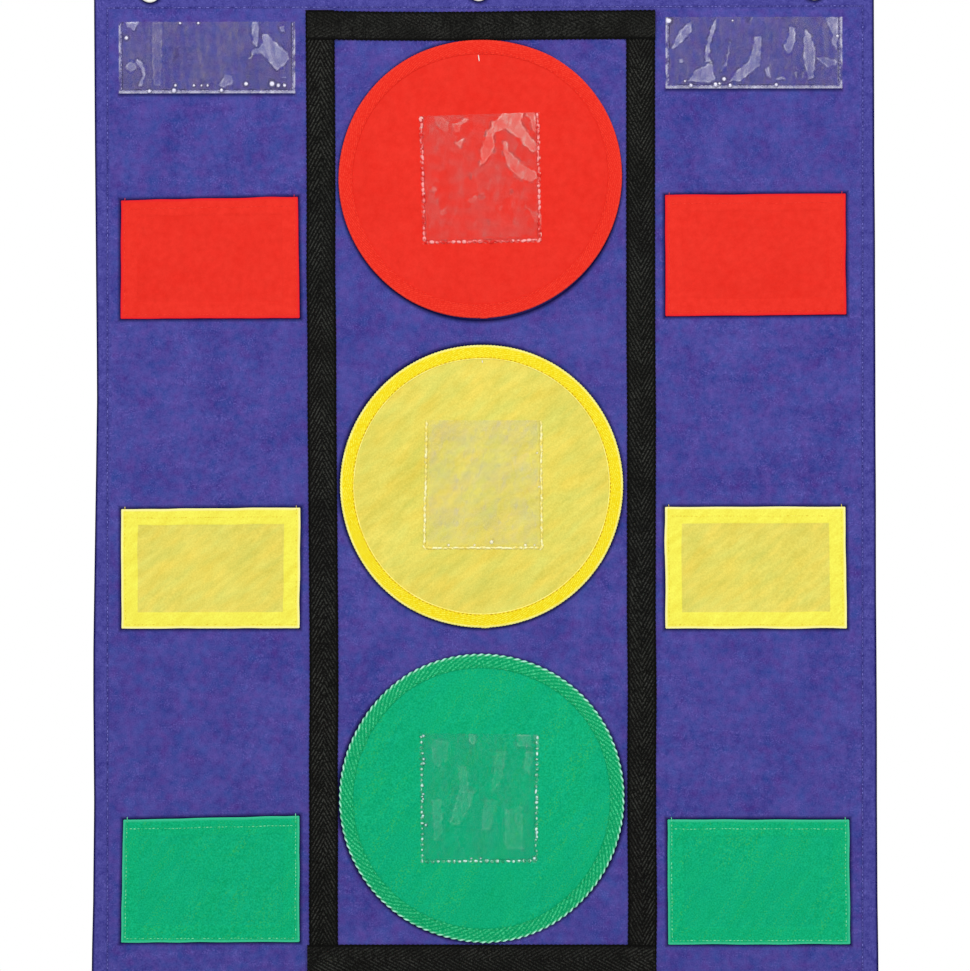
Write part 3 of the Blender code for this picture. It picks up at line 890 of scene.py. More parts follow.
print(len(along_run([(0.0, 0.0), (0.1, 0.0)], 2.7 * mm)[0]), "stitches in 100 mm")

# %% [markdown]
# No two stitches are quite alike: a seeded random draw turns and shifts each one a little. A stitch
# is five rings of six points, so that thousands of them stay light. A texture of dashes is the other
# way, and it looks painted on from close by.

# %% Sew a seam
ring_points, ring_count = 6, 5
first_ring = list(range(ring_points))
capsule_ends = [first_ring[::-1], [ring_points * (ring_count - 1) + point for point in first_ring]]
usual_stitch = {"pitch": 2.7 * mm, "length": 2.0 * mm, "radius": 0.2 * mm, "unevenness": 1.0}
turn_spread, shift_spread, length_spread, radius_spread = 0.05, 0.06 * mm, 0.07, 0.06
end_taper, arch_top, arch_drop = 0.45, 0.75, 1.5
seed_step = 7919


def scatter(name, middle, way, stitch):
    """The places, directions, lengths and radii of a seam's stitches, each a little off."""
    draw = np.random.default_rng(len(name) * seed_step + sum(map(ord, name)))
    count, uneven = len(middle), stitch["unevenness"]
    turn = draw.normal(0, turn_spread * uneven, count)
    x, z = way.T
    way = np.stack([x * np.cos(turn) - z * np.sin(turn), x * np.sin(turn) + z * np.cos(turn)], 1)
    side = np.stack([-way[:, 1], way[:, 0]], 1)
    middle = middle + side * draw.normal(0, shift_spread * uneven, (count, 1))
    lengths = stitch["length"] * draw.normal(1, length_spread * uneven, count)
    radii = stitch["radius"] * draw.normal(1, radius_spread * uneven, count)
    return middle, way, side, lengths, radii


def stitch_points(middle, way, side, lengths, radii, surface, facing):
    """The rings of points of all stitches, which arch over the surface that they lie on."""
    along = np.linspace(-1, 1, ring_count)
    offset = middle[:, None, :] + way[:, None, :] * (along[None, :, None] * lengths[:, None, None] / 2)
    line_x, line_z = offset[..., 0], offset[..., 1]
    level = surface(line_x, line_z) + drape(line_x, line_z)
    level = level + facing * radii[:, None] * (arch_top - arch_drop * along**4)
    round_angles = np.arange(ring_points) * 2 * math.pi / ring_points
    ring_sizes = radii[:, None, None] * (1 - end_taper * along**2)[None, :, None]
    wide, tall = ring_sizes * np.cos(round_angles), ring_sizes * np.sin(round_angles)
    x = line_x[..., None] + side[:, 0][:, None, None] * wide
    z = line_z[..., None] + side[:, 1][:, None, None] * wide
    return np.stack([x, -(level[..., None] + tall), z], axis=-1).reshape(-1, 3)


def sew(name, runs, surface, finish, facing=1, **changes):
    """All the stitches of a seam. surface gives the lift of the cloth that they lie on.

    facing is 1 for stitches in front of that cloth, and -1 for stitches behind it. changes are
    what differs from the usual pitch, length, radius and unevenness.
    """
    stitch = {**usual_stitch, **changes}
    parts = [along_run(run, stitch["pitch"]) for run in runs]
    middle, way = (np.concatenate(column) for column in zip(*parts))
    points = stitch_points(*scatter(name, middle, way, stitch), surface, facing)
    tube = grid_faces(ring_count, ring_points, wrap_columns=True)
    starts = np.arange(len(middle)) * ring_points * ring_count
    faces = (tube[None, :, ::-1] + starts[:, None, None]).reshape(-1, 4).tolist()
    for start in starts:
        faces += [[start + corner for corner in end] for end in capsule_ends]
    seam = make_piece(name, points, faces, finish)
    seam.data.shade_smooth()
    return seam


# %% [markdown]
# One seam runs all round the backing and holds its hems. Its top side isn't quite level in the photo.

# %% Sew the backing's hems
hem_left, hem_right = -241.75 * mm, 250.2 * mm
hem_bottom = -641.6 * mm
hem_top_left, hem_top_right = -10.75 * mm, -9.45 * mm
hem_corners = [(hem_left, hem_bottom), (hem_right, hem_bottom)]
hem_corners += [(hem_right, hem_top_right), (hem_left, hem_top_left)]
hem_run = [*hem_corners[::-1], hem_corners[-1]]
hem_stitch = {"pitch": 2.67 * mm, "radius": 0.27 * mm}
hem_seam = sew("hem_stitches", [hem_run], backing_lift, threads["violet"], **hem_stitch)
bind(hem_seam, "violet_thread", "hem_stitching")
print("stitches in the hems:", len(hem_seam.data.vertices) // (ring_points * ring_count))

# %% [markdown]
# ## Eyelets
#
# An eyelet is stamped from thin metal: a domed rim in front, a barrel through the cloth, and an edge
# that is rolled out over a washer behind. A shape like that is turned: its outline, drawn once, goes
# round the hole's axis. The Screw modifier does this too. A grid that wraps in both directions gives
# the same mesh, with nothing to merge afterwards.

# %% Draw the eyelet's outline
hole_wall, barrel_outer = 3.2 * mm, 3.6 * mm
flange_radius, flange_low, flange_edge, dome_top = 7.0 * mm, 0.3 * mm, 0.62 * mm, 1.6 * mm
roll_front, roll_back = -1.5 * mm, -2.05 * mm
roll_out, roll_half, roll_depth = 0.75 * mm, 0.45 * mm, 0.28 * mm
washer_front, washer_back, washer_radius = -1.02 * mm, -1.38 * mm, 6.6 * mm
washer_gap, washer_bevel = 0.3 * mm, 0.1 * mm


def arc(centre, reach, start, end, steps):
    """Points of radius and lift along part of an ellipse."""
    angles = np.radians(np.linspace(start, end, steps))
    return [(centre[0] + reach[0] * math.cos(a), centre[1] + reach[1] * math.sin(a)) for a in angles]


dome_middle, dome_half = (hole_wall + flange_radius) / 2, (flange_radius - hole_wall) / 2
dome = arc((dome_middle, flange_edge), (dome_half, dome_top - flange_edge), start=0, end=180, steps=15)
roll_middle = (barrel_outer + roll_out, roll_front - roll_depth)
roll = arc(roll_middle, (roll_half, roll_depth), start=90, end=-90, steps=7)
eyelet_outline = [
    *dome,
    (hole_wall, roll_back),
    *roll[::-1],
    (barrel_outer, roll_front),
    (barrel_outer, flange_low),
    (flange_radius, flange_low),
]
washer_outline = [
    (barrel_outer + washer_gap, washer_front),
    (washer_radius - washer_bevel, washer_front),
    (washer_radius, washer_front - washer_bevel),
    (washer_radius, washer_back + washer_bevel),
    (washer_radius - washer_bevel, washer_back),
    (barrel_outer + washer_gap, washer_back),
]
print("points in the eyelet's outline:", len(eyelet_outline))

# %% [markdown]
# The outlines go round each hole.

# %% Turn the eyelets and washers
eyelet_steps = 72


def turned(name, outline, place):
    """A ring with a closed outline of radius and lift, turned about an axis along Y."""
    angles = np.arange(eyelet_steps) * 2 * math.pi / eyelet_steps
    radius, lift = np.array(outline).T
    x = place[0] + radius[None, :] * np.cos(angles)[:, None]
    z = place[1] + radius[None, :] * np.sin(angles)[:, None]
    level = lift[None, :] + drape(*np.array(place))
    points = np.stack([x, -np.broadcast_to(level, x.shape), z], axis=-1)
    faces = grid_faces(eyelet_steps, len(outline), wrap_rows=True, wrap_columns=True)
    return smooth(make_piece(name, points, faces[:, ::-1], bright_metal))


for side, place in eyelet_places.items():
    eyelet = turned(side + "_eyelet_ring", eyelet_outline, place)
    washer = turned(side + "_eyelet_washer", washer_outline, place)
    bind(eyelet, "bright_metal", side + "_eyelet")
    bind(washer, "bright_metal", side + "_washer")
print(f"eyelets {2 * flange_radius / mm:.1f} mm across with a {2 * hole_wall / mm:.1f} mm hole")

# %% [markdown]
# ## The frame of tape
#
# Four lengths of black herringbone tape make the frame. In herringbone the ridges slant one way on
# one half of the tape and the other way on the other half, so they meet in arrowheads down its
# middle. A ridge's height is a cosine of the distance along the tape plus a share of the distance
# across it. The selvedge, the tape's woven edge, has small teeth where the weft turns back.

# %% Weave a straight tape
tape_width, tape_thickness = 18.8 * mm, 0.8 * mm
tape_step, tape_columns = 0.6 * mm, 41
herring_pitch, herring_slope, herring_height = 4.37 * mm, 1.88, 0.14 * mm
crest_sharpness = 2.5
worn_level = 0.3
selvedge_start, selvedge_end, selvedge_drop = 0.4 * tape_width, 0.45 * tape_width, 0.25 * mm
tooth_pitch, tooth_depth, tooth_rest = 2.9 * mm, 0.45 * mm, 0.7


def tape(name, length, place, back_lift, way, relief):
    """A tape from its length. place gives x and z from along and across, back_lift its seat.

    way is the direction in which the arrowheads point. relief is the share of the ridges that
    wear and pressing have left.
    """
    along, across = np.meshgrid(
        np.linspace(0, length, round(length / tape_step)),
        np.linspace(-0.5, 0.5, tape_columns) * tape_width,
        indexing="ij",
    )
    ridge = wave((along + way * herring_slope * np.abs(across)) / herring_pitch) ** crest_sharpness
    edge = smooth_step(np.abs(across), selvedge_start, selvedge_end)
    # At the selvedge the ridge mark is 0, so the finish paints its groove shade along both edges.
    ridge = (relief * ridge + (1 - relief) * worn_level) * (1 - edge)
    tooth = np.abs(np.sin(math.pi * (along + 3 * across) / tooth_pitch)) - tooth_rest
    x, z = place(along, across + np.sign(across) * edge * tooth_depth * tooth)
    lift = back_lift(x, z) + tape_thickness + herring_height * ridge - selvedge_drop * edge
    points = stand(x, lift, z)
    faces = grid_faces(*x.shape)
    towards_length, towards_width = points[1, 0] - points[0, 0], points[0, 1] - points[0, 0]
    if np.cross(towards_width, towards_length)[1] > 0:
        faces = faces[:, ::-1]
    return thicken(make_piece(name, points, faces, black_tape, {"ridge": ridge}), tape_thickness)


# %% [markdown]
# The two upright tapes go down first. The level ones lie over their ends, and step up there. No tape
# is quite straight: how far each leans was read off the photo at a few places along it.

# %% Places of the tapes
outer_low, outer_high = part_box("left_frame_tape")[0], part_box("right_frame_tape")[1]
frame_middle = (outer_low[0] + outer_high[0]) / 2
outer_half = (outer_high[0] - outer_low[0]) / 2
inner_half = outer_half - tape_width
frame_top, frame_bottom = outer_high[2], outer_low[2]
tape_seat = 0.3 * mm
upright_seat = flat_at(tape_seat)
crossing_rise = tape_thickness + tape_seat
step_start, step_end = inner_half - 2.4 * mm, inner_half - 0.4 * mm
lean_heights = (
    np.array([-630, -592, -546, -500, -455, -409, -340, -273, -227, -181, -136, -90, -20]) * mm
)
left_lean = np.array([1.2, 1.05, 1.2, 1.05, 1.5, 1.3, 0.7, 0.1, 0.0, -0.6, -0.45, -0.6, -1.1]) * mm
right_lean = np.array([0.8, 1.2, 0.65, 0.55, 0.9, 0.35, 0.4, 0.5, 0.1, 0.0, -0.1, -0.05, -0.1]) * mm
tilt_places = np.array([-97, -64, -32, 1, 33, 66, 99]) * mm
top_tilt = np.array([-0.5, -0.8, -0.95, -0.7, -0.2, 0.05, 0.05]) * mm
no_tilt = 0 * top_tilt


def level_seat(x, z):
    """The seat of a level tape, which climbs over the ends of the upright ones."""
    return tape_seat + crossing_rise * smooth_step(np.abs(x - frame_middle), step_start, step_end)


def upright_tape(side, lean):
    """Where places on an upright tape lie. side is -1 for the left one and 1 for the right one."""

    def place(along, across):
        z = frame_bottom + along
        middle = frame_middle + side * (outer_half - tape_width / 2)
        return middle + np.interp(z, lean_heights, lean) + across, z

    return place


def level_tape(middle, tilt):
    """Where places on a level tape lie, from the height of its middle and its tilt."""

    def place(along, across):
        x = frame_middle - outer_half + along
        return x, middle + across + np.interp(x, tilt_places, tilt)

    return place


print(f"frame {2 * outer_half / mm:.1f} x {(frame_top - frame_bottom) / mm:.1f} mm")

# %% [markdown]
# The arrowheads point up on the left and down on the right, and the level tapes are more worn. Each
# tape has a length, its places, its seat, the way its arrowheads point, and the share of its ridges
# that is left.

# %% Lay the four tapes
frame_height, frame_width = frame_top - frame_bottom, 2 * outer_half
top_middle, bottom_middle = frame_top - tape_width / 2, frame_bottom + tape_width / 2
tape_plans = {
    "left": [frame_height, upright_tape(-1, left_lean), upright_seat, 1, 1.0],
    "right": [frame_height, upright_tape(1, right_lean), upright_seat, -1, 1.0],
    "top": [frame_width, level_tape(top_middle, top_tilt), level_seat, 1, 0.45],
    "bottom": [frame_width, level_tape(bottom_middle, no_tilt), level_seat, -1, 0.75],
}
tape_faces = {}
for side, plan in tape_plans.items():
    strip = bind(tape(side + "_tape", *plan), "black_tape", side + "_frame_tape")
    tape_faces[side] = len(strip.data.polygons)
print("tape faces:", tape_faces)

# %% [markdown]
# The tapes are sewn down along both edges, in black thread that hardly shows. Both seams go round
# the whole frame, so they cross from the low tapes to the high ones at the corners. A list keeps the
# seams that go through the backing, because they will have to show behind it too.

# %% Sew the frame down
stitch_inset = 2.0 * mm
run_heights = 24


def frame_lift(x, z):
    """The lift of the highest tape at a place in the frame."""
    on_level = (z > frame_top - tape_width) | (z < frame_bottom + tape_width)
    return np.where(on_level, level_seat(x, z), tape_seat) + tape_thickness + herring_height


def frame_run(inset):
    """The corners of a seam that goes round the frame, that far in from its outer edge."""
    left, right = frame_middle - outer_half + inset, frame_middle + outer_half - inset
    heights = np.linspace(frame_bottom + inset, frame_top - inset, run_heights)
    left_side = [(left + np.interp(height, lean_heights, left_lean), height) for height in heights]
    right_side = [(right + np.interp(height, lean_heights, right_lean), height) for height in heights]
    return [*left_side, *right_side[::-1], left_side[0]]


through_seams = {}
for name, inset in (("outer", stitch_inset), ("inner", tape_width - stitch_inset)):
    seam = sew("frame_" + name + "_stitches", [frame_run(inset)], frame_lift, threads["black"])
    bind(seam, "black_thread", "frame_" + name + "_stitching")
    through_seams["frame_" + name] = ([frame_run(inset)], threads["black"], "black_thread")
print("the frame is sewn down along both edges")

# %% [markdown]
# ## Round pockets
#
# Each disc is one sheet of nylon. It is sewn down round its lower part, and free above, where cards
# go in. In the CAD model it is two solids with a hinge between them.
#
# The discs were cut and bound by hand, so none is quite round. Their bulges were measured every 15
# degrees, clockwise from the top.

# %% Places of the discs
disc_names = ("red", "yellow", "green")
folds = {joint["child"].split("_")[0]: joint["pos_m"] for joint in frame["joints"]}
rim_angles = np.radians(np.arange(0, 360, 15))
rim_bulges = {
    "red": [0, 0.6, 1.9, 2.3, 2.2, 1.8, 1.1, 0.3, -0.4, -1.0, -1.4, -1.5,
            -1.4, -0.9, -0.4, -0.3, 0, 0.5, 0.9, 0.9, 1.1, 1.0, 0.7, 0.1],
    "yellow": [-0.5, -0.1, 0.2, 0.3, 0.2, 0.1, 0.1, 0, 0.2, 0.2, 0.1, 0,
               0, -0.1, 0.2, 0.2, -0.2, -0.4, -0.3, -0.4, -0.6, -0.6, -0.6, -0.5],
    "green": [1.2, 1.1, 1.1, 1.0, 0.6, 0, -0.3, -0.3, -0.1, 0.2, 0.9, 1.2,
              0.6, 0.1, 0.1, 0, -0.2, -0.3, -0.4, -0.3, -0.2, 0.5, 1.3, 1.3],
}


def disc_frame(colour):
    """The middle and the radius of a disc, from its binding."""
    low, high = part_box(colour + "_binding")
    radius = (high[0] - low[0]) / 2
    return (low[0] + high[0]) / 2, low[2] + radius, radius


def rim_radius(colour, angle):
    """A disc's radius in a direction, clockwise from its top."""
    bulge = np.interp(angle, rim_angles, rim_bulges[colour], period=2 * math.pi)
    return disc_frame(colour)[2] + bulge * mm


def bend_at_fold(piece, colour, slot, *nodes):
    """A piece of a disc stands for its CAD nodes, which are hidden. colour and slot are not used."""
    if nodes:
        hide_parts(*nodes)
    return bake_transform(piece)


print("discs:", {colour: round(2 * disc_frame(colour)[2] / mm, 1) for colour in disc_names}, "mm across")

# %% [markdown]
# Handling has left soft buckles in the discs, and a few creases whose ends are read off the photo, in
# millimetres from the disc's middle. Both fade out toward the rim, so that the cloth lies level where
# the binding holds it.

# %% Buckles and creases
web_seat = 1.1 * mm
web_front = web_seat + cloth_thickness
rim_level = 12 * mm
crease_width = 2.5 * mm
crease_fade = 0.25
soft_buckle = {"height": 0.12 * mm, "size": 0.05}
fine_buckle = {"height": 0.05 * mm, "size": 0.014}
disc_creases = {
    "red": [((-30, 62), (20, 58), 0.25), ((-72, -20), (-50, 20), 0.2)],
    "yellow": [((-40, 60), (-62, 20), 0.2), ((-30, -60), (34, -74), 0.2)],
    "green": [((-62, 60), (-42, 46), -0.6), ((-62, 44), (-44, 22), 0.25), ((50, -22), (62, -48), 0.3)],
}


def crease(x, z, start, end):
    """A crease between two points: 1 along its line, and 0 from one width away."""
    span = end - start
    length = np.hypot(*span)
    along = ((x - start[0]) * span[0] + (z - start[1]) * span[1]) / length**2
    away = np.abs((x - start[0]) * span[1] - (z - start[1]) * span[0]) / length
    ends = smooth_step(along, 0, crease_fade) * (1 - smooth_step(along, 1 - crease_fade, 1))
    return ends * (1 - smooth_step(away, 0, crease_width))


def web_lift(colour, x, z):
    """The lift of a disc's front face."""
    middle_x, middle_z, radius = disc_frame(colour)
    middle = np.array([middle_x, middle_z])
    inward = radius - np.hypot(x - middle_x, z - middle_z)
    seed = len(colour)
    buckle = ripple(x, z, seed, **soft_buckle) + ripple(x, z, 2 * seed, **fine_buckle)
    for start, end, height in disc_creases[colour]:
        start, end = middle + np.array(start) * mm, middle + np.array(end) * mm
        buckle = buckle + height * mm * crease(x, z, start, end)
    return web_front + buckle * smooth_step(inward, rim_level, 2 * rim_level)


print("creases:", {colour: len(creases) for colour, creases in disc_creases.items()})

# %% [markdown]
# The grid of a disc is rings round its middle, so that its edge is smooth. A square grid would leave
# steps there.

# %% Cut the discs
web_margin = 0.8 * mm
web_rings, web_sectors = 56, 220
web_start = 0.005


def disc_web(colour):
    """The sheet of a round pocket, as rings of points round its middle."""
    middle_x, middle_z, radius = disc_frame(colour)
    angles = (np.arange(web_sectors) * 2 * math.pi / web_sectors)[:, None]
    reach = np.linspace(web_start, 1, web_rings)[None, :] * (rim_radius(colour, angles) - web_margin)
    x = middle_x + reach * np.sin(angles)
    z = middle_z + reach * np.cos(angles)
    faces = grid_faces(web_sectors, web_rings, wrap_rows=True).tolist()
    faces.append([sector * web_rings for sector in range(web_sectors)][::-1])
    unmarked = {"hem": np.zeros(x.shape), "edge": np.zeros(x.shape)}
    points = stand(x, web_lift(colour, x, z), z)
    web = make_piece(colour + "_disc_cloth", points, faces, cloths[colour], unmarked)
    return thicken(web, cloth_thickness)


for colour in disc_names:
    web = disc_web(colour)
    bend_at_fold(web, colour, colour + "_cloth", colour + "_round_pocket", colour + "_mouth_flap")
    radius = disc_frame(colour)[2] - web_margin
    square, area = (2 * radius, 2 * radius), math.pi * radius**2
    print(f"{colour} disc, {len(web.data.polygons)} faces")

# %% [markdown]
# ## Bindings
#
# A folded tape wraps the edge of each disc: one leg in front, one behind, and a turn round the rim.
# The outline of that U is swept round the disc. A Bevel on a curve could sweep it too, but its ridges
# would need a displacement afterwards.

# %% Draw the binding's outline
binding_width, binding_wall = 9.2 * mm, 0.5 * mm
binding_back, binding_front = 0.3 * mm, 2.25 * mm
rim_corner = 0.8 * mm
front_columns, turn_columns, back_columns = 38, 7, 6


def binding_outline():
    """The U of a folded tape as distances in from the rim, lifts, and how much the ridges show."""
    front_leg = np.linspace(binding_width, rim_corner, front_columns)
    turn_angles = np.radians(np.linspace(90, -90, turn_columns + 2))[1:-1]
    turn_in = rim_corner * (1 - np.cos(turn_angles))
    middle, half = (binding_front + binding_back) / 2, (binding_front - binding_back) / 2
    back_leg = np.linspace(rim_corner, binding_width, back_columns)
    inner_leg = [binding_width, rim_corner, rim_corner, binding_width]
    low, high = binding_back + binding_wall, binding_front - binding_wall
    levels = [
        np.full(front_columns, binding_front),
        middle + half * np.sin(turn_angles),
        np.full(back_columns, binding_back),
        [low, low, high, high],
    ]
    inward = np.concatenate([front_leg, turn_in, back_leg, inner_leg])
    shown = np.zeros(len(inward))
    shown[1 : front_columns + turn_columns] = 1.0
    return inward, np.concatenate(levels), shown


print("points round the binding's outline:", len(binding_outline()[0]))

# %% [markdown]
# The twill's ridges slant across the front leg and swell where they go over the rim, which gives the
# edge its rope look. On the green disc the swelling is coarse, on the other two it is fine. Each
# ridge is broken into floats, the short lengths at which a thread lies on top of the weave.

# %% Ridges of the bindings
float_length, float_shift = 1.4 * mm, 0.37
ridge_plans = {
    "red": {
        "pitch": 4.4, "lean": 3.5, "rim_bumps": 2, "floats": 0.4, "height": 0.05, "rim_height": 0.12,
        "rim_highlight": 0.1, "highlight_between": 0.5, "lip_highlight": 0.0,
    },
    "yellow": {
        "pitch": 4.4, "lean": 3.5, "rim_bumps": 2, "floats": 0.5, "height": 0.06, "rim_height": 0.35,
        "rim_highlight": 0.9, "highlight_between": 0.5, "lip_highlight": 0.8,
    },
    "green": {
        "pitch": 4.8, "lean": 1.8, "rim_bumps": 1, "floats": 0.8, "height": 0.14, "rim_height": 0.5,
        "rim_highlight": 1.0, "highlight_between": 0.0, "lip_highlight": 0.0,
    },
}


def binding_ridges(colour, angle, inward):
    """The heights, 0 to 1, of the ridges on a binding's front leg and on its rim."""
    plan, radius = ridge_plans[colour], disc_frame(colour)[2]
    around = 2 * math.pi * radius
    ridge_count = round(around / (plan["pitch"] * mm))
    turns = (angle * radius + plan["lean"] * inward) * ridge_count / around
    floats = wave(inward / float_length + float_shift * np.floor(turns))
    ridge = wave(turns) * (1 - plan["floats"] + plan["floats"] * floats)
    return ridge, wave(turns * plan["rim_bumps"])


print("ridges:", {colour: plan["pitch"] for colour, plan in ridge_plans.items()}, "mm apart")

# %% [markdown]
# The tape's ends meet at the bottom, where one end is folded under and stands a little higher. The
# rim, and on the yellow disc the inner lip, get a painted highlight.

# %% Wrap the bindings
binding_steps = 1300
join_length, join_rise = 7 * mm, 0.35 * mm
rim_zone, lip_width = 2.6 * mm, 0.6 * mm
highlight_start, highlight_end, highlight_sharpness = 0.8 * mm, 1.8 * mm, 1.5
rim_sunk = 0.75
leg_puff = 0.15 * mm
rough_patches = {"seed": 71, "size": 0.012, "height": 0.25}


def binding(colour):
    """A ring of folded twill tape round a disc, from its join at the bottom and clockwise."""
    middle_x, middle_z, radius = disc_frame(colour)
    plan = ridge_plans[colour]
    inward, level, shown = (row[None, :] for row in binding_outline())
    angle = (np.arange(binding_steps) * 2 * math.pi / binding_steps)[:, None]
    ridge, rim_ridge = binding_ridges(colour, angle, inward)
    from_join = (2 * math.pi - angle) * radius
    raised = join_rise * (1 - smooth_step(from_join, 0.5 * join_length, join_length)) * shown
    near_rim = (1 - smooth_step(inward, 0.0, rim_zone)) * shown
    outward = near_rim * (plan["rim_height"] * mm * (rim_ridge - rim_sunk) + raised)
    reach = rim_radius(colour, angle + math.pi) - inward + outward
    x = middle_x - reach * np.sin(angle)
    z = middle_z - reach * np.cos(angle)
    uneven = 1 + ripple(x, z, **rough_patches)
    relief = shown * plan["height"] * (1 - near_rim) * ridge + plan["rim_height"] * near_rim * rim_ridge
    puff = leg_puff * np.sin(math.pi * np.clip(inward / binding_width, 0, 1)) * shown
    front = shown * smooth_step(level, binding_back + binding_wall, binding_front)
    lift = level + (relief * uneven * mm + raised + puff) * front
    rim_edge = shown * (1 - smooth_step(inward, highlight_start, highlight_end))
    lip_start, lip_end = binding_width - lip_width, binding_width - 0.2 * lip_width
    lip = smooth_step(inward, lip_start, lip_end) * (level > binding_front / 2)
    between = plan["highlight_between"]
    # Painted highlight along the rim, and on the yellow disc along the inner lip.
    rim_highlight = plan["rim_highlight"] * rim_edge * (between + (1 - between) * rim_ridge**highlight_sharpness)
    marks = {
        "ridge": shown * np.maximum(ridge, rim_ridge * rim_edge),
        "rim_and_lip_highlight": np.clip((rim_highlight + plan["lip_highlight"] * lip) * uneven, 0, 1),
    }
    faces = grid_faces(*x.shape, wrap_rows=True, wrap_columns=True)
    name = colour + "_disc_binding"
    return smooth(make_piece(name, stand(x, lift, z), faces, binding_tapes[colour], marks))


for colour in disc_names:
    ring = binding(colour)
    bend_at_fold(ring, colour, colour + "_binding_tape", colour + "_binding", colour + "_mouth_binding")

# %% [markdown]
# One seam holds each binding to its disc, close to the tape's inner edge. It is part of the disc all
# round. Only the part below the fold goes through to the backing.

# %% Sew the bindings
seam_inset, seam_rise = 8.3 * mm, 0.12 * mm
binding_lift = flat_at(binding_front + seam_rise)
round_steps = 360


def round_run(colour, inset):
    """A round of points on a disc, that far in from its rim."""
    middle_x, middle_z, radius = disc_frame(colour)
    angles = np.linspace(0, 2 * math.pi, round_steps + 1) + math.pi
    reach = rim_radius(colour, angles) - inset
    return np.stack([middle_x + reach * np.sin(angles), middle_z + reach * np.cos(angles)], 1)


for colour in disc_names:
    run, thread = round_run(colour, seam_inset), threads[colour + "_seam"]
    seam = sew(colour + "_disc_stitches", [run], binding_lift, thread, length=1.9 * mm)
    bend_at_fold(seam, colour, colour + "_thread", colour + "_round_seam", colour + "_mouth_stitching")
    sewn_down = run[:, 1] < folds[colour][2]
    up_one_side, up_other_side = np.argmin(sewn_down), len(run) - np.argmin(sewn_down[::-1])
    sewn_runs = [run[:up_one_side], run[up_other_side:]]
    through_seams[colour + "_round"] = (sewn_runs, thread, colour + "_thread")
print("seams that go through the backing so far:", len(through_seams))

# %% [markdown]
# A short white thread end shows at the top of the red and the yellow disc, where a seam was started.
# It is one long stitch.

# %% Leave two thread ends
end_rise, end_radius, end_slant = 0.1 * mm, 0.3 * mm, 0.2 * mm
thread_ends = {
    "red": {"shift": -0.9 * mm, "rise": 81.5 * mm, "length": 4.2 * mm},
    "yellow": {"shift": 0.6 * mm, "rise": 81.8 * mm, "length": 1.8 * mm},
}
end_lift = flat_at(binding_front + end_rise)
for colour, end in thread_ends.items():
    middle_x, middle_z, radius = disc_frame(colour)
    top_x, top_z = middle_x + end["shift"], middle_z + end["rise"]
    run = [(top_x, top_z), (top_x + end_slant, top_z - end["length"])]
    size = {"pitch": end["length"], "length": end["length"], "radius": end_radius}
    piece = sew(colour + "_thread_end", [run], end_lift, threads["white"], **size)
    bend_at_fold(piece, colour, colour + "_thread")
print("thread ends:", ", ".join(thread_ends))

# %% [markdown]
# ## Creased film
#
# The windows and the sleeves are clear vinyl, sewn on three sides and open at the top. Folding has
# left flat facets with sharp outlines in it, and each facet mirrors another part of the room, so some
# look pale and some look clear. The pale look is painted in as a reflection, and the clear facets get
# some painted shade. Beside the stitches the film puckers into small domes, and each dome shows one
# bright glint, which is painted too.
#
# A facet is given by its outline. How deep a place lies inside it says whether the place is on the
# facet, on its pale line or on its clear border.

# %% Measure from an outline
def outline_depth(x, z, outline):
    """How deep each point lies inside an outline. Outside it is less than zero."""
    inside = np.zeros(x.shape, bool)
    nearest = np.full(x.shape, np.inf)
    for (x1, z1), (x2, z2) in zip(outline, [*outline[1:], outline[0]]):
        span_x, span_z = x2 - x1, z2 - z1
        side = ((x - x1) * span_z - (z - z1) * span_x) * np.sign(span_z)
        inside ^= ((z1 > z) != (z2 > z)) & (side < 0)
        share = np.clip(((x - x1) * span_x + (z - z1) * span_z) / (span_x**2 + span_z**2), 0, 1)
        nearest = np.minimum(nearest, np.hypot(x - x1 - share * span_x, z - z1 - share * span_z))
    return np.where(inside, nearest, -nearest)


def band(depth, middle, width):
    """A soft band along a line: 1 at its middle, and next to nothing two widths away."""
    return np.exp(-(((depth - middle) / width) ** 2))


square = [(0, 0), (4, 0), (4, 4), (0, 4)]
print("the middle of a 4 mm square is", outline_depth(np.array([2]), np.array([2]), square)[0], "mm deep")

# %% [markdown]
# Each film has its own list of facets, as outlines in millimetres from its lower left corner, with
# how strong the painted reflection on each is, or below zero how clear it is, and a list of domes with
# their sizes. Mirroring alone could show them, but only from one side, so their reflections and the
# domes' glints are painted too. An edge, range or glint is given by where it starts and ends, and a
# line, border or ring by its middle and its width.

# %% Facets and domes
wander, wander_seeds = {"height": 0.25, "size": 4.0}, (81, 82)
broken, broken_range = {"seed": 83, "size": 7.0}, (-1.0, 0.6)
facet_edge, facet_line, facet_border = (-0.3, 0.4), (0.2, 0.45), (-0.9, 0.5)
facet_rise, facet_slope, least_tilt, most_tilt = 0.1, 0.02, -0.15, 0.2
facet_body_reflection, border_clearness, clear_shade = 0.6, 0.7, 0.6
dome_rise, dome_glint, dome_ring, ring_shade = 0.2, (0.2, 0.7), (1.35, 0.3), 0.8


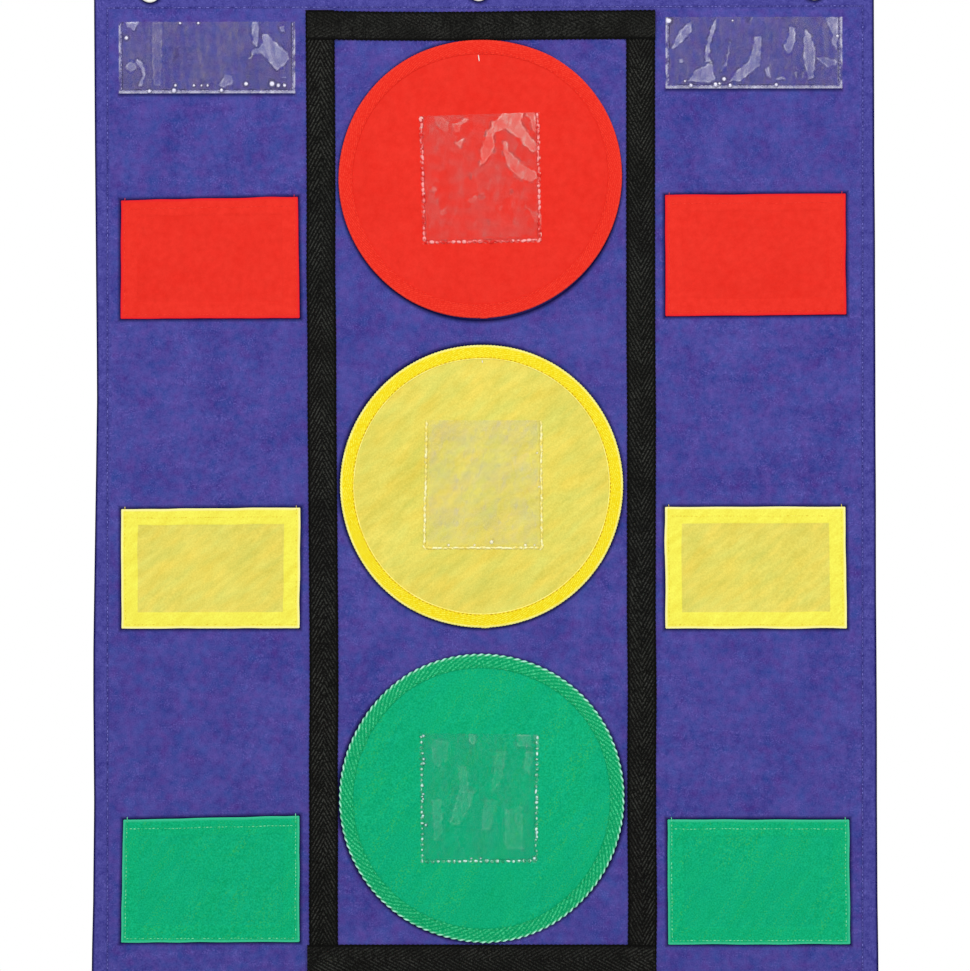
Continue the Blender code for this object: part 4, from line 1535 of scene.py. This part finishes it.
def film_marks(x, z, facets, domes):
    """Painted reflection, clearness, painted shade, painted glints and lift of facets and domes, in mm."""
    haze_and_painted_light, clear, shade, glint, rise = (np.zeros(x.shape) for _ in range(5))
    wander_x, wander_z = (ripple(x, z, seed, **wander) for seed in wander_seeds)
    whole = smooth_step(ripple(x, z, **broken), *broken_range)
    for level, outline in facets:
        depth = outline_depth(x + wander_x, z + wander_z, outline)
        body, border = smooth_step(depth, *facet_edge), band(depth, *facet_border)
        right, up = x - np.mean(outline, axis=0)[0], z - np.mean(outline, axis=0)[1]
        tilt = np.clip(facet_slope * right + facet_slope * up, least_tilt, most_tilt)
        rise = rise + body * (facet_rise + tilt)
        if level > 0:
            # A facet's painted reflection, with a pale line on its outline and painted shade just outside
            # it.
            haze_and_painted_light = np.maximum(haze_and_painted_light, level * (facet_body_reflection * body + band(depth, *facet_line) * whole))
            clear = np.maximum(clear, border_clearness * border)
            shade = np.maximum(shade, level * border * whole)
        else:
            # A clear facet lets more of the cloth show, and gets painted shade.
            clear = np.maximum(clear, -level * body)
            shade = np.maximum(shade, -clear_shade * level * body)
    for place_x, place_z, size in domes:
        away = np.hypot(x - place_x, z - place_z) / (0.5 * size)
        dome = np.clip(1 - away**2, 0, 1)
        rise = rise + dome_rise * size * dome
        # Each dome gets a painted glint and a ring of painted shade.
        glint = np.maximum(glint, smooth_step(dome, *dome_glint))
        shade = np.maximum(shade, ring_shade * band(away, *dome_ring))
    return haze_and_painted_light, clear, shade, glint, rise


print(f"a dome rises by {dome_rise} of its width")

# %% [markdown]
# A film is a fine grid between its four corners. Its edges are pressed double where it is sewn.

# %% Lay out a film
film_step = 0.45 * mm
patch_size, patch_range = 0.009, (-0.8, 0.6)
firm_press, patchy_press = 0.7, 0.3
side_pressed, bottom_pressed = (1.1 * mm, 1.6 * mm), (1.5 * mm, 2.0 * mm)


def between(corners, across, up):
    """Places on the chart, from shares of the way across and up between four corners in mm."""
    lower_left, lower_right, upper_right, upper_left = np.array(corners) * mm
    across, up = across[..., None], up[..., None]
    low = lower_left + (lower_right - lower_left) * across
    high = upper_left + (upper_right - upper_left) * across
    place = low + (high - low) * up
    return place[..., 0], place[..., 1]


def film_grid(corners):
    """A film's grid: how far each place is from its left, right and lower edge, and its x and z."""
    lower_left, lower_right, _, upper_left = np.array(corners) * mm
    width = np.linalg.norm(lower_right - lower_left)
    height = np.linalg.norm(upper_left - lower_left)
    u, v = np.meshgrid(*(np.linspace(0, 1, round(side / film_step)) for side in (width, height)))
    return u * width, (1 - u) * width, v * height, *between(corners, u, v)


def pressed_edge(x, z, side, bottom, seed):
    """Where the film is pressed double along its seams: 1 there, and patchy at the sides."""
    patchy = smooth_step(ripple(x, z, seed, patch_size), *patch_range)
    side_band = 1 - smooth_step(side, *side_pressed)
    low_band = 1 - smooth_step(bottom, *bottom_pressed)
    return np.maximum(side_band * patchy, low_band * (firm_press + patchy_press * patchy)), patchy


print(f"a film has a point every {film_step / mm:.2f} mm")

# %% [markdown]
# A film's surface adds up wrinkles, facets, domes and the puckers along its seams. Its haze adds up
# the same things, with their painted reflections, shade and glints, and a plain haze with streaks in
# it.

# %% Make a film
film_thickness, film_gap = 0.2 * mm, 0.3 * mm
film_wrinkle, fine_wrinkle, film_bulge = 0.14 * mm, 0.06 * mm, 0.25 * mm
pucker, pucker_pitch = 0.08 * mm, 3.5 * mm
free_range, inner_fold_shade = (0.5 * mm, 6 * mm), (2.4 * mm, 0.5 * mm)
streak_range, fine_range = (-0.6, 1.2), (-1.0, 1.0)
finer, finest = 0.4, 0.25
least_haze, streak_haze, fine_haze = 0.5, 0.6, 0.5
facet_reflection, fine_facet_reflection = 0.8, 0.3
glint_haze, shine_gain = 1.7, 1.5
patchy_fold_shade = 0.7


def film(name, finish, corners, under, level, streaks, facets, domes):
    """A clear film between four corners, given from the lower left one round to the upper left.

    level says how hazy its plain parts are, and how solid its facets' painted reflections, its pressed
    edges with their painted sheen and the painted shade in its folds are. streaks say how wrinkles lie.
    """
    left, right, bottom, x, z = film_grid(corners)
    size, stretch, seed = streaks["size"], streaks["stretch"], streaks["seed"]
    haze_and_painted_light, clear, shade, glint, rise = film_marks(left / mm, bottom / mm, facets, domes)
    side = np.minimum(left, right)
    edge = np.minimum(side, bottom)
    free = smooth_step(edge, *free_range)
    wrinkles = film_wrinkle * (1 - np.abs(ripple(x, z, seed, size, stretch)))
    wrinkles = wrinkles + fine_wrinkle * (1 - np.abs(ripple(x, z, seed + 1, finer * size, stretch)))
    puckers = pucker * np.abs(np.sin(math.pi * (x + z) / pucker_pitch)) * (1 - free)
    lift = under(x, z) + film_gap + wrinkles * free + rise * mm + puckers + film_bulge * free
    streak = smooth_step(ripple(x, z, seed + 2, size, stretch), *streak_range)
    fine = smooth_step(ripple(x, z, seed + 3, finest * size, stretch), *fine_range)
    pressed, patchy = pressed_edge(x, z, side, bottom, seed + 4)
    # A band of painted shade just inside the pressed edges.
    edge_fold_shade = band(edge, *inner_fold_shade) * (1 - patchy_fold_shade * patchy)
    shade = np.maximum(shade, edge_fold_shade) * (1 - glint)
    parts = [
        level["plain"] * (least_haze + streak_haze * streak + fine_haze * fine) * (1 - clear),
        level["facet"] * haze_and_painted_light * (facet_reflection + fine_facet_reflection * fine),
        level["edge"] * pressed,
        level["fold"] * shade,
        glint_haze * glint,
    ]
    marks = {
        "haze_and_painted_light": sum(parts),
        # shine is the painted reflection of facets, painted sheen of pressed edges and painted glints of
        # domes.
        "shine": np.clip(shine_gain * haze_and_painted_light + pressed + glint, 0, 1),
        "shade": np.clip(shade, 0, 1),
    }
    sheet = make_piece(name, stand(x, lift, z), grid_faces(*x.shape), finish, marks)
    return thicken(sheet, film_thickness)


print(f"film {film_thickness / mm:.1f} mm thick, {film_gap / mm:.1f} mm off what lies under it")

# %% [markdown]
# ## Windows
#
# The outlines below were measured on the photo, in millimetres, for the facets that stand out.

# %% Facets and domes of the windows
window_facets = {
    "red": [
        (0.9, [(38, 50), (42, 53), (47, 59), (48, 65), (47, 70), (49, 71), (55, 74), (59, 71), (64, 67),
               (68, 62), (73, 58), (76, 59), (75, 63), (71, 68), (67, 74), (65, 78), (67, 83), (63, 85),
               (59, 83), (54, 84), (51, 80), (47, 78), (47, 75), (44, 72), (42, 67), (39, 59), (40, 55)]),
        (0.75, [(68, 85), (74, 85), (75, 77), (75, 70), (73, 72), (72, 78), (69, 82)]),
        (0.75, [(54, 65), (56, 65), (57, 59), (63, 53), (69, 48), (75, 45), (75, 41), (70, 39), (65, 41),
                (60, 45), (56, 51), (54, 59)]),
        (0.3, [(10, 83), (15, 82), (19, 78), (18, 73), (14, 74), (11, 78)]),
        (0.6, [(21, 78), (25, 78), (30, 81), (32, 80), (26, 76), (26, 73), (23, 73)]),
        (0.5, [(23, 65), (26, 67), (29, 68), (27, 65), (26, 62), (25, 64)]),
        (0.3, [(68, 23), (73, 20), (79, 17), (79, 10), (74, 13)]),
        (0.5, [(6, 36), (8, 37), (10, 36), (8, 34)]),
        (0.25, [(29, 27), (35, 31), (36, 29), (32, 26)]),
        (0.25, [(49, 23), (53, 24), (51, 20)]),
        (0.25, [(12, 21), (15, 23), (15, 20), (13, 18)]),
        (-1.0, [(31, 46), (33, 46), (33, 41), (31, 41)]),
        (-1.0, [(57, 34), (59, 35), (60, 32), (58, 31)]),
        (-1.0, [(42, 15), (44, 15), (44, 11), (43, 11)]),
        (-0.7, [(37, 31), (41, 33), (42, 30), (38, 27)]),
    ],
    "yellow": [
        (0.3, [(58, 60), (69, 63), (71, 52), (62, 47)]),
        (0.2, [(35, 68), (42, 66), (40, 60), (36, 61)]),
    ],
    "green": [
        (0.45, [(31, 84), (36, 84), (35, 78), (32, 79)]),
        (0.45, [(62, 84), (71, 84), (72, 76), (63, 77)]),
        (0.5, [(73, 84), (78, 84), (78, 77), (75, 77)]),
        (0.3, [(8, 81), (18, 79), (18, 68), (12, 63), (8, 68)]),
        (0.35, [(25, 63), (30, 63), (32, 42), (26, 42)]),
        (0.35, [(49, 73), (55, 73), (53, 55), (45, 45), (48, 61)]),
        (0.4, [(68, 73), (73, 73), (70, 58), (67, 63)]),
        (0.35, [(8, 41), (14, 42), (14, 19), (9, 14)]),
        (0.4, [(25, 47), (35, 47), (32, 36), (25, 26), (19, 24)]),
        (0.3, [(41, 41), (50, 42), (45, 22), (40, 22)]),
        (0.35, [(55, 35), (66, 37), (66, 9), (55, 10)]),
    ],
}
window_domes = {
    "red": [(77, 5, 3), (1.5, 82, 2.5), (1.5, 76, 2), (77.5, 64, 2), (77.5, 54, 2), (77.5, 44, 2),
            (2, 33, 1.5), (1.4, 63, 1.5)],
    "yellow": [(17, 3, 2), (34, 3, 1.8), (45, 5, 3), (67, 3, 2.2), (73, 3, 1.5), (1.5, 29, 1.5),
               (1.5, 15, 1.5), (1.5, 11, 1.5), (77.5, 41, 1.5), (77.5, 45, 2), (76, 41, 1.5),
               (75, 63, 1.5), (1.7, 60, 1.5)],
    "green": [(2.5, 83, 2), (2.5, 68, 2), (2.5, 65, 2), (2, 45, 2), (75.5, 42, 1.5), (1.8, 31, 2),
              (3.5, 25, 1.8), (75.5, 20, 2.5), (75.5, 17, 2), (74, 3, 2.5), (33, 3, 1.5), (39, 3, 1.5),
              (2, 42, 1.5)],
}
print("facets:", {colour: len(facets) for colour, facets in window_facets.items()})

# %% [markdown]
# The windows weren't sewn on quite square, so each has its own corners, in millimetres from the lower
# left one of its CAD solid. How hazy a film is, and how its streaks lie, differs as well. The windows'
# stitches get a painted highlight in patches. They are longer than the others, and uneven.

# %% Sew on the windows
window_plans = {
    "red": {
        "corners": [(2.4, 0.3), (79.9, 1.6), (78.5, 86.3), (0.0, 83.6)],
        "haze_and_painted_light": {"plain": 0.09, "facet": 0.4, "edge": 0.3, "fold": 0.5},
        "streaks": {"size": 0.03, "stretch": 1.2, "seed": 21},
        "stitch": {"length": 3.1 * mm, "radius": 0.85 * mm, "unevenness": 3.0},
    },
    "yellow": {
        "corners": [(0.0, 0.0), (79.0, 0.0), (78.6, 84.3), (1.6, 84.3)],
        "haze_and_painted_light": {"plain": 0.14, "facet": 0.08, "edge": 0.1, "fold": 0.15},
        "streaks": {"size": 0.026, "stretch": 1.0, "seed": 31},
        "stitch": {"length": 3.6 * mm, "radius": 0.8 * mm, "unevenness": 2.0},
    },
    "green": {
        "corners": [(1.2, 0.0), (77.6, 0.3), (78.2, 84.0), (0.4, 84.6)],
        "haze_and_painted_light": {"plain": 0.07, "facet": 0.17, "edge": 0.1, "fold": 0.4},
        "streaks": {"size": 0.011, "stretch": 5.0, "seed": 41},
        "stitch": {"length": 1.9 * mm, "radius": 0.78 * mm, "unevenness": 3.5},
    },
}
window_inset, window_pitch = 1.3, 3.5 * mm
stitch_gap = 0.35 * mm


def film_run(corners, inset, top_gap=0.5):
    """The seam of a film: down its left side, along its bottom and up its right side."""
    lower_left, lower_right, upper_right, upper_left = np.array(corners, float)
    points = [
        upper_left + (inset, -top_gap),
        lower_left + (inset, inset),
        lower_right + (-inset, inset),
        upper_right + (-inset, -top_gap),
    ]
    return np.array(points) * mm


for colour, plan in window_plans.items():
    low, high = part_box(colour + "_window")
    corners = [(low[0] / mm + x, low[2] / mm + z) for x, z in plan["corners"]]
    marks = (window_facets[colour], window_domes[colour])

    def under(x, z):
        """The lift of the disc that the window lies on."""
        return web_lift(colour, x, z)

    def on_window(x, z):
        """The lift of the window's own front face."""
        return under(x, z) + stitch_gap + film_thickness

    look = (plan["haze_and_painted_light"], plan["streaks"], *marks)
    sheet = film(colour + "_window_film", films[colour], corners, under, *look)
    bind(sheet, "clear_film", colour + "_window")
    run, thread = film_run(corners, window_inset), threads[colour + "_window"]
    name = colour + "_window_stitches"
    seam = sew(name, [run], on_window, thread, pitch=window_pitch, **plan["stitch"])
    bind(seam, colour + "_thread", colour + "_window_seam")
print("windows sewn on:", len(window_plans))

# %% [markdown]
# ## Label sleeves
#
# The two sleeves are made in the same way, straight on the backing. Their lower edge is pressed
# double and painted paler, and most of their painted glints lie along it.

# %% Facets and domes of the sleeves
sleeve_facets = {
    "left": [
        (1.0, [(94, 38), (97, 38), (102, 33), (110, 26), (111, 22), (106, 17), (103, 15), (97, 22), (93, 26),
               (87, 25), (87, 28), (91, 29), (94, 32)]),
        (0.8, [(87, 46), (91, 46), (91, 38), (90, 30), (88, 32), (87, 40)]),
        (0.9, [(4, 46), (13, 46), (10, 41), (6, 43)]),
        (0.6, [(5, 18), (8, 21), (11, 19), (11, 16), (8, 14), (5, 16)]),
        (0.8, [(12, 22), (14, 21), (17, 17), (17, 12), (15, 5), (13, 5), (16, 11), (15, 16), (11, 20)]),
        (0.6, [(65, 5), (70, 12), (74, 11), (74, 6), (68, 4)]),
        (0.25, [(22, 46), (28, 46), (28, 24), (27, 5), (23, 5), (22, 24)]),
        (0.8, [(105, 43), (108, 44), (108, 40), (106, 40)]),
        (-1.0, [(37, 29), (39, 31), (39, 25), (37, 20), (35, 20)]),
        (-1.0, [(39, 45), (42, 45), (41, 42), (40, 43)]),
        (-0.6, [(84, 22), (87, 24), (89, 15), (85, 8), (82, 12)]),
        (-0.8, [(104, 11), (110, 10), (110, 7), (105, 8)]),
        (-0.8, [(52, 6), (54, 10), (57, 8), (56, 6)]),
    ],
    "right": [
        (0.8, [(16, 43), (17, 38), (13, 33), (7, 27), (4, 26), (7, 33), (11, 39)]),
        (0.8, [(15, 5), (20, 12), (25, 14), (30, 17), (31, 11), (32, 5), (27, 4)]),
        (1.0, [(33, 45), (32, 39), (29, 30), (28, 21), (30, 17), (26, 17), (26, 25), (28, 33), (30, 40)]),
        (0.8, [(42, 30), (41, 24), (40, 16), (36, 11), (39, 17), (41, 25)]),
        (0.8, [(42, 5), (47, 12), (54, 17), (57, 26), (58, 33), (62, 34), (62, 26), (61, 15), (56, 11),
               (51, 7), (49, 5)]),
        (0.8, [(81, 40), (84, 39), (84, 30), (81, 23), (79, 22), (77, 28), (80, 33)]),
        (0.7, [(91, 38), (94, 35), (97, 26), (97, 16), (96, 7), (93, 6), (90, 19), (90, 31)]),
        (0.7, [(104, 46), (112, 46), (112, 37), (111, 25), (108, 31), (109, 34), (106, 41)]),
        (0.6, [(98, 20), (103, 20), (111, 18), (111, 15), (105, 14)]),
        (0.7, [(65, 12), (67, 14), (68, 7), (66, 8)]),
        (0.7, [(72, 6), (76, 8), (78, 6)]),
        (0.7, [(84, 10), (85, 11), (85, 7)]),
        (0.6, [(9, 19), (11, 19), (11, 17), (9, 17)]),
        (-1.0, [(50, 47), (57, 47), (54, 42), (52, 43)]),
        (-1.0, [(74, 47), (78, 47), (76, 45)]),
        (-0.7, [(51, 5), (60, 9), (65, 6), (60, 4)]),
        (-0.7, [(82, 9), (87, 12), (90, 11), (89, 6)]),
        (-0.5, [(39, 9), (44, 11), (46, 15), (42, 14), (40, 11)]),
    ],
}
sleeve_domes = {
    "left": [(5, 36, 3), (40, 45.5, 2), (52, 45.5, 2), (37, 5, 2.2), (49, 5, 2), (54, 5, 1.5), (58, 5, 1.8),
             (83, 6, 3), (100, 6, 4), (104, 5, 3), (108, 5, 2.5), (20, 1.6, 2.5), (36, 2, 3), (67, 2, 2.5)],
    "right": [(2, 44, 4), (38, 6, 3), (12.5, 4.6, 1.5), (32.5, 2.6, 3), (35, 3, 2), (42, 2, 2.5),
              (72, 2.4, 2.5), (16.4, 2, 2.5), (43.5, 44, 1.5), (112, 34, 2)],
}
print("facets:", {side: len(facets) for side, facets in sleeve_facets.items()})

# %% [markdown]
# Both sleeves are the same film, and only their streaks differ.

# %% Sew on the sleeves
# Haze levels for the plain film, the painted reflections, the pressed edges and the painted fold shade.
sleeve_haze_and_painted_light = {"plain": 0.2, "facet": 0.22, "edge": 0.42, "fold": 0.55}
sleeve_streaks = {
    "left": {"size": 0.02, "stretch": 3.0, "seed": 51},
    "right": {"size": 0.018, "stretch": 3.5, "seed": 61},
}
sleeve_inset = 1.6
sleeve_stitch = {"pitch": 2.6 * mm, "length": 1.8 * mm, "unevenness": 1.5}
on_sleeve = flat_at(stitch_gap + film_thickness)
for side, streaks in sleeve_streaks.items():
    low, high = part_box(side + "_sleeve")
    corners = [(low[0], low[2]), (high[0], low[2]), (high[0], high[2]), (low[0], high[2])]
    corners = [(x / mm, z / mm) for x, z in corners]
    look = (sleeve_haze_and_painted_light, streaks, sleeve_facets[side], sleeve_domes[side])
    sheet = film(side + "_sleeve_film", films["sleeve"], corners, backing_lift, *look)
    bind(sheet, "clear_film", side + "_sleeve")
    runs = [film_run(corners, sleeve_inset)]
    seam = sew(side + "_sleeve_stitches", runs, on_sleeve, threads["film"], **sleeve_stitch)
    bind(seam, "film_thread", side + "_sleeve_seam")
    through_seams[side + "_sleeve"] = (runs, threads["film"], "film_thread")
print("sleeves sewn on:", len(sleeve_streaks))

# %% [markdown]
# ## Cloth pockets
#
# Each cloth pocket is a small sheet, hemmed all round and sewn to the backing on three sides. The
# sewer didn't set them down quite square, so each has its own four corners. The single layer in the
# middle sinks a little behind the thick hem, and the mouth along the top stands off the backing.

# %% Cut the cloth pockets
pocket_corners = {
    "red_left": [(-233.0, -213.1), (-116.2, -212.8), (-117.6, -133.8), (-233.0, -136.0)],
    "red_right": [(121.8, -211.4), (239.4, -210.3), (239.0, -131.5), (121.4, -132.5)],
    "yellow_left": [(-232.6, -414.9), (-116.7, -414.7), (-115.8, -336.0), (-232.8, -337.1)],
    "yellow_right": [(121.7, -414.9), (240.0, -414.7), (238.9, -335.4), (121.2, -335.7)],
    "green_left": [(-232.9, -619.4), (-116.6, -618.9), (-116.6, -536.7), (-231.4, -539.4)],
    "green_right": [(123.5, -620.4), (242.1, -620.4), (241.3, -539.1), (122.9, -539.1)],
}
pocket_width, pocket_height = 117.5 * mm, 80.0 * mm
pocket_hem, pocket_spacing = 10.8 * mm, 1.5 * mm
pocket_front, mouth_opening, middle_sag = 1.0 * mm, 0.7 * mm, 0.22 * mm
mouth_start = 0.55 * pocket_height
wobble = {"size": 0.03, "height": 0.16 * mm}
pocket_buckle = {"size": 0.035, "height": 0.1 * mm}
pocket_crinkle = {"size": 0.012, "height": 0.05 * mm}
buckle_range = (2 * mm, 10 * mm)


def pocket_place(name, u, v):
    """Where a place on a flat pocket lies on the chart."""
    x, z = between(pocket_corners[name], u / pocket_width, v / pocket_height)
    seed = sum(map(ord, name))
    return x + ripple(u, v, seed, **wobble), z + ripple(u, v, seed + 1, **wobble)


def pocket_lift(name, u, v):
    """The lift of a pocket's front face."""
    seed = sum(map(ord, name)) + 2
    edge = np.minimum.reduce([u, pocket_width - u, v, pocket_height - v])
    single = smooth_step(edge, pocket_hem - step_half, pocket_hem + step_half)
    buckle = ripple(u, v, seed, **pocket_buckle) + ripple(u, v, seed + 1, **pocket_crinkle)
    middle = np.clip(np.sin(math.pi * u / pocket_width), 0, 1)
    mouth = mouth_opening * middle * smooth_step(v, mouth_start, pocket_height)
    return pocket_front + mouth + buckle * smooth_step(edge, *buckle_range) - middle_sag * single


pocket_faces = {}
for name in pocket_corners:
    colour = name.split("_")[0]

    def pocket_shape(u, v):
        """Where each place on the flat pocket lies, and how far it stands out."""
        x, z = pocket_place(name, u, v)
        return x, pocket_lift(name, u, v), z

    size, hems = (pocket_width, pocket_height), dict.fromkeys(backing_hems, pocket_hem)
    pocket = hemmed_sheet(name + "_pocket_cloth", size, hems, pocket_spacing, pocket_shape, cloths[colour])
    bind(pocket, colour + "_cloth", name + "_pocket")
    pocket_faces[name] = len(pocket.data.polygons)
print("pocket faces:", pocket_faces)

# %% [markdown]
# The seams start a little above the mouth, where the sewer stitched back and forth to lock them. The
# mouth's own hem has a line of stitches right across.

# %% Sew on the cloth pockets
seam_margin, mouth_margin = 2.6 * mm, 6.0 * mm
lock_low, lock_high = pocket_height - 0.4 * mm, pocket_height + 1.9 * mm
mouth_ends = 4 * mm
side_points = 12
pocket_radius = {"red": 0.2 * mm, "yellow": 0.2 * mm, "green": 0.28 * mm}


def pocket_runs():
    """The lines of a pocket's seam on the flat pocket: down, across and up, and its two locks."""
    left, right = seam_margin, pocket_width - seam_margin
    heights = np.linspace(pocket_height, seam_margin, side_points)
    round_sides = [(left, height) for height in heights] + [(right, height) for height in heights[::-1]]
    return [round_sides, *([(place, lock_low), (place, lock_high)] for place in (left, right))]


mouth_line = [
    (place, pocket_height - mouth_margin)
    for place in np.linspace(mouth_ends, pocket_width - mouth_ends, side_points)
]
for name in pocket_corners:
    colour = name.split("_")[0]

    def to_chart(points):
        """A line on the flat pocket, as places on the chart."""
        return np.stack(pocket_place(name, *np.array(points).T), 1)

    def on_pocket(x, z):
        """The lift of the pocket's front face at a place on the chart."""
        lower_left, lower_right, upper_right, upper_left = np.array(pocket_corners[name]) * mm
        u = (x - lower_left[0]) / (lower_right[0] - lower_left[0]) * pocket_width
        v = (z - lower_left[1]) / (upper_left[1] - lower_left[1]) * pocket_height
        return pocket_lift(name, u, np.minimum(v, pocket_height))

    runs, thread = [to_chart(run) for run in pocket_runs()], threads[colour]
    size = {"pitch": 2.5 * mm, "length": 1.8 * mm, "radius": pocket_radius[colour]}
    seam = sew(name + "_pocket_stitches", runs, on_pocket, thread, **size)
    bind(seam, colour + "_thread", name + "_pocket_seam")
    through_seams[name + "_pocket"] = (runs, thread, colour + "_thread")
    hem = sew(name + "_mouth_hem_stitches", [to_chart(mouth_line)], on_pocket, thread, **size)
    bind(hem, colour + "_thread", name + "_hem_stitching")
print("pockets sewn on:", len(pocket_corners))

# %% [markdown]
# ## The backs of the seams
#
# A sewing machine makes a lockstitch: one thread lies in front of the cloth and one behind, and they
# hook into each other in every hole. So each seam that goes through the backing shows behind it too.
# The same runs are sewn again there, facing the other way. The backs of the hems' stitches lie on the
# folded layer, which is a fold's width further back.

# %% Sew the backs of the seams
behind_backing, behind_hem = flat_at(-cloth_thickness), flat_at(-2 * fold_radius)
for name, (runs, thread, slot) in through_seams.items():
    bind(sew(name + "_stitches_behind", runs, behind_backing, thread, facing=-1), slot)
hem_back = sew("hem_stitches_behind", [hem_run], behind_hem, threads["violet"], facing=-1)
bind(hem_back, "violet_thread")
print("seams that show behind:", len(through_seams) + 1)

# %% [markdown]
# ## Painted shade beside the pieces
#
# Where a disc, a pocket, a sleeve or an eyelet sits on the backing, the violet finish paints a dark
# band of shade beside its edge. How far a place lies outside a round piece is its distance from the
# middle less the radius. For a piece with four corners it is the greatest of its distances past the
# four sides. Under a sleeve only the lower edge gets this painted shade.

# %% Measure how far a place is from each piece
sleeve_shade_strip = 1.4 * mm
painted_shade_reach = 2.6 * mm


def beyond_round(tree, place, middle, radius):
    """How far a place on the backing lies outside a round piece."""
    inputs = {0: place, 1: (middle[0], 0.0, middle[1])}
    away = add_node(tree, "VectorMath", inputs, operation="DISTANCE").outputs["Value"]
    return calculate(tree, "SUBTRACT", away, radius)


def beyond_sides(tree, place, corners):
    """How far a place lies outside a piece with four corners, given anticlockwise."""
    outside = None
    for (x1, z1), (x2, z2) in zip(corners, [*corners[1:], corners[0]]):
        length = math.hypot(x2 - x1, z2 - z1)
        outward = ((z2 - z1) / length, 0.0, (x1 - x2) / length)
        inputs = {0: place, 1: outward}
        along = add_node(tree, "VectorMath", inputs, operation="DOT_PRODUCT").outputs["Value"]
        past = calculate(tree, "SUBTRACT", along, x1 * outward[0] + z1 * outward[2])
        outside = past if outside is None else calculate(tree, "MAXIMUM", outside, past)
    return outside


tree = cloths["violet"].node_tree
place = add_node(tree, "TexCoord").outputs["Object"]
rounds = [disc_frame(colour) for colour in disc_names]
rounds += [(*middle, flange_radius) for middle in eyelet_places.values()]
distances = [beyond_round(tree, place, (x, z), radius) for x, z, radius in rounds]
distances += [beyond_sides(tree, place, np.array(corners) * mm) for corners in pocket_corners.values()]
for side in sleeve_streaks:
    low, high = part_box(side + "_sleeve")
    bottom, top = low[2] - sleeve_shade_strip, low[2]
    strip = [(low[0], bottom), (high[0], bottom), (high[0], top), (low[0], top)]
    distances.append(calculate(tree, "ADD", beyond_sides(tree, place, strip), 0.5 * painted_shade_reach))
# Each of these pieces gets a band of painted shade beside it.
print("pieces that press the backing:", len(distances))

# %% [markdown]
# The nearest piece decides how dark the painted shade is at a place. The line of stitches in the hem
# gets a fainter band of painted shade of its own. Only the front of the cloth gets this shade, so it
# stays off where the surface faces back.

# %% Paint shade beside the pieces
painted_shade_colour = seen(10, 10, 60)
sewn_start, sewn_end, sewn_shade_strength = 0.2 * mm, 1.1 * mm, 0.28
nearest = distances[0]
for distance in distances[1:]:
    nearest = calculate(tree, "MINIMUM", nearest, distance)
# Painted shade: a dark band beside each piece, and a fainter one along the hem's seam.
painted_shade = spread(tree, calculate(tree, "ABSOLUTE", nearest), 0.0, painted_shade_reach, 1.0, 0.0)
sewn_line = calculate(tree, "ABSOLUTE", beyond_sides(tree, place, hem_corners))
painted_shade = calculate(tree, "MAXIMUM", painted_shade, spread(tree, sewn_line, sewn_start, sewn_end, sewn_shade_strength, 0.0))
normal = add_node(tree, "NewGeometry").outputs["Normal"]
faces_back = add_node(tree, "SeparateXYZ", {0: normal}).outputs["Y"]
painted_shade = calculate(tree, "MULTIPLY", painted_shade, calculate(tree, "LESS_THAN", faces_back, 0.0))
base_colour = tree.nodes["Principled BSDF"].inputs["Base Color"]
plain_colour = base_colour.links[0].from_socket
tree.links.new(mix_colours(tree, painted_shade, plain_colour, painted_shade_colour), base_colour)
# The painted shade fades out over this reach.
print(f"grooves fade out over {painted_shade_reach / mm:.1f} mm")
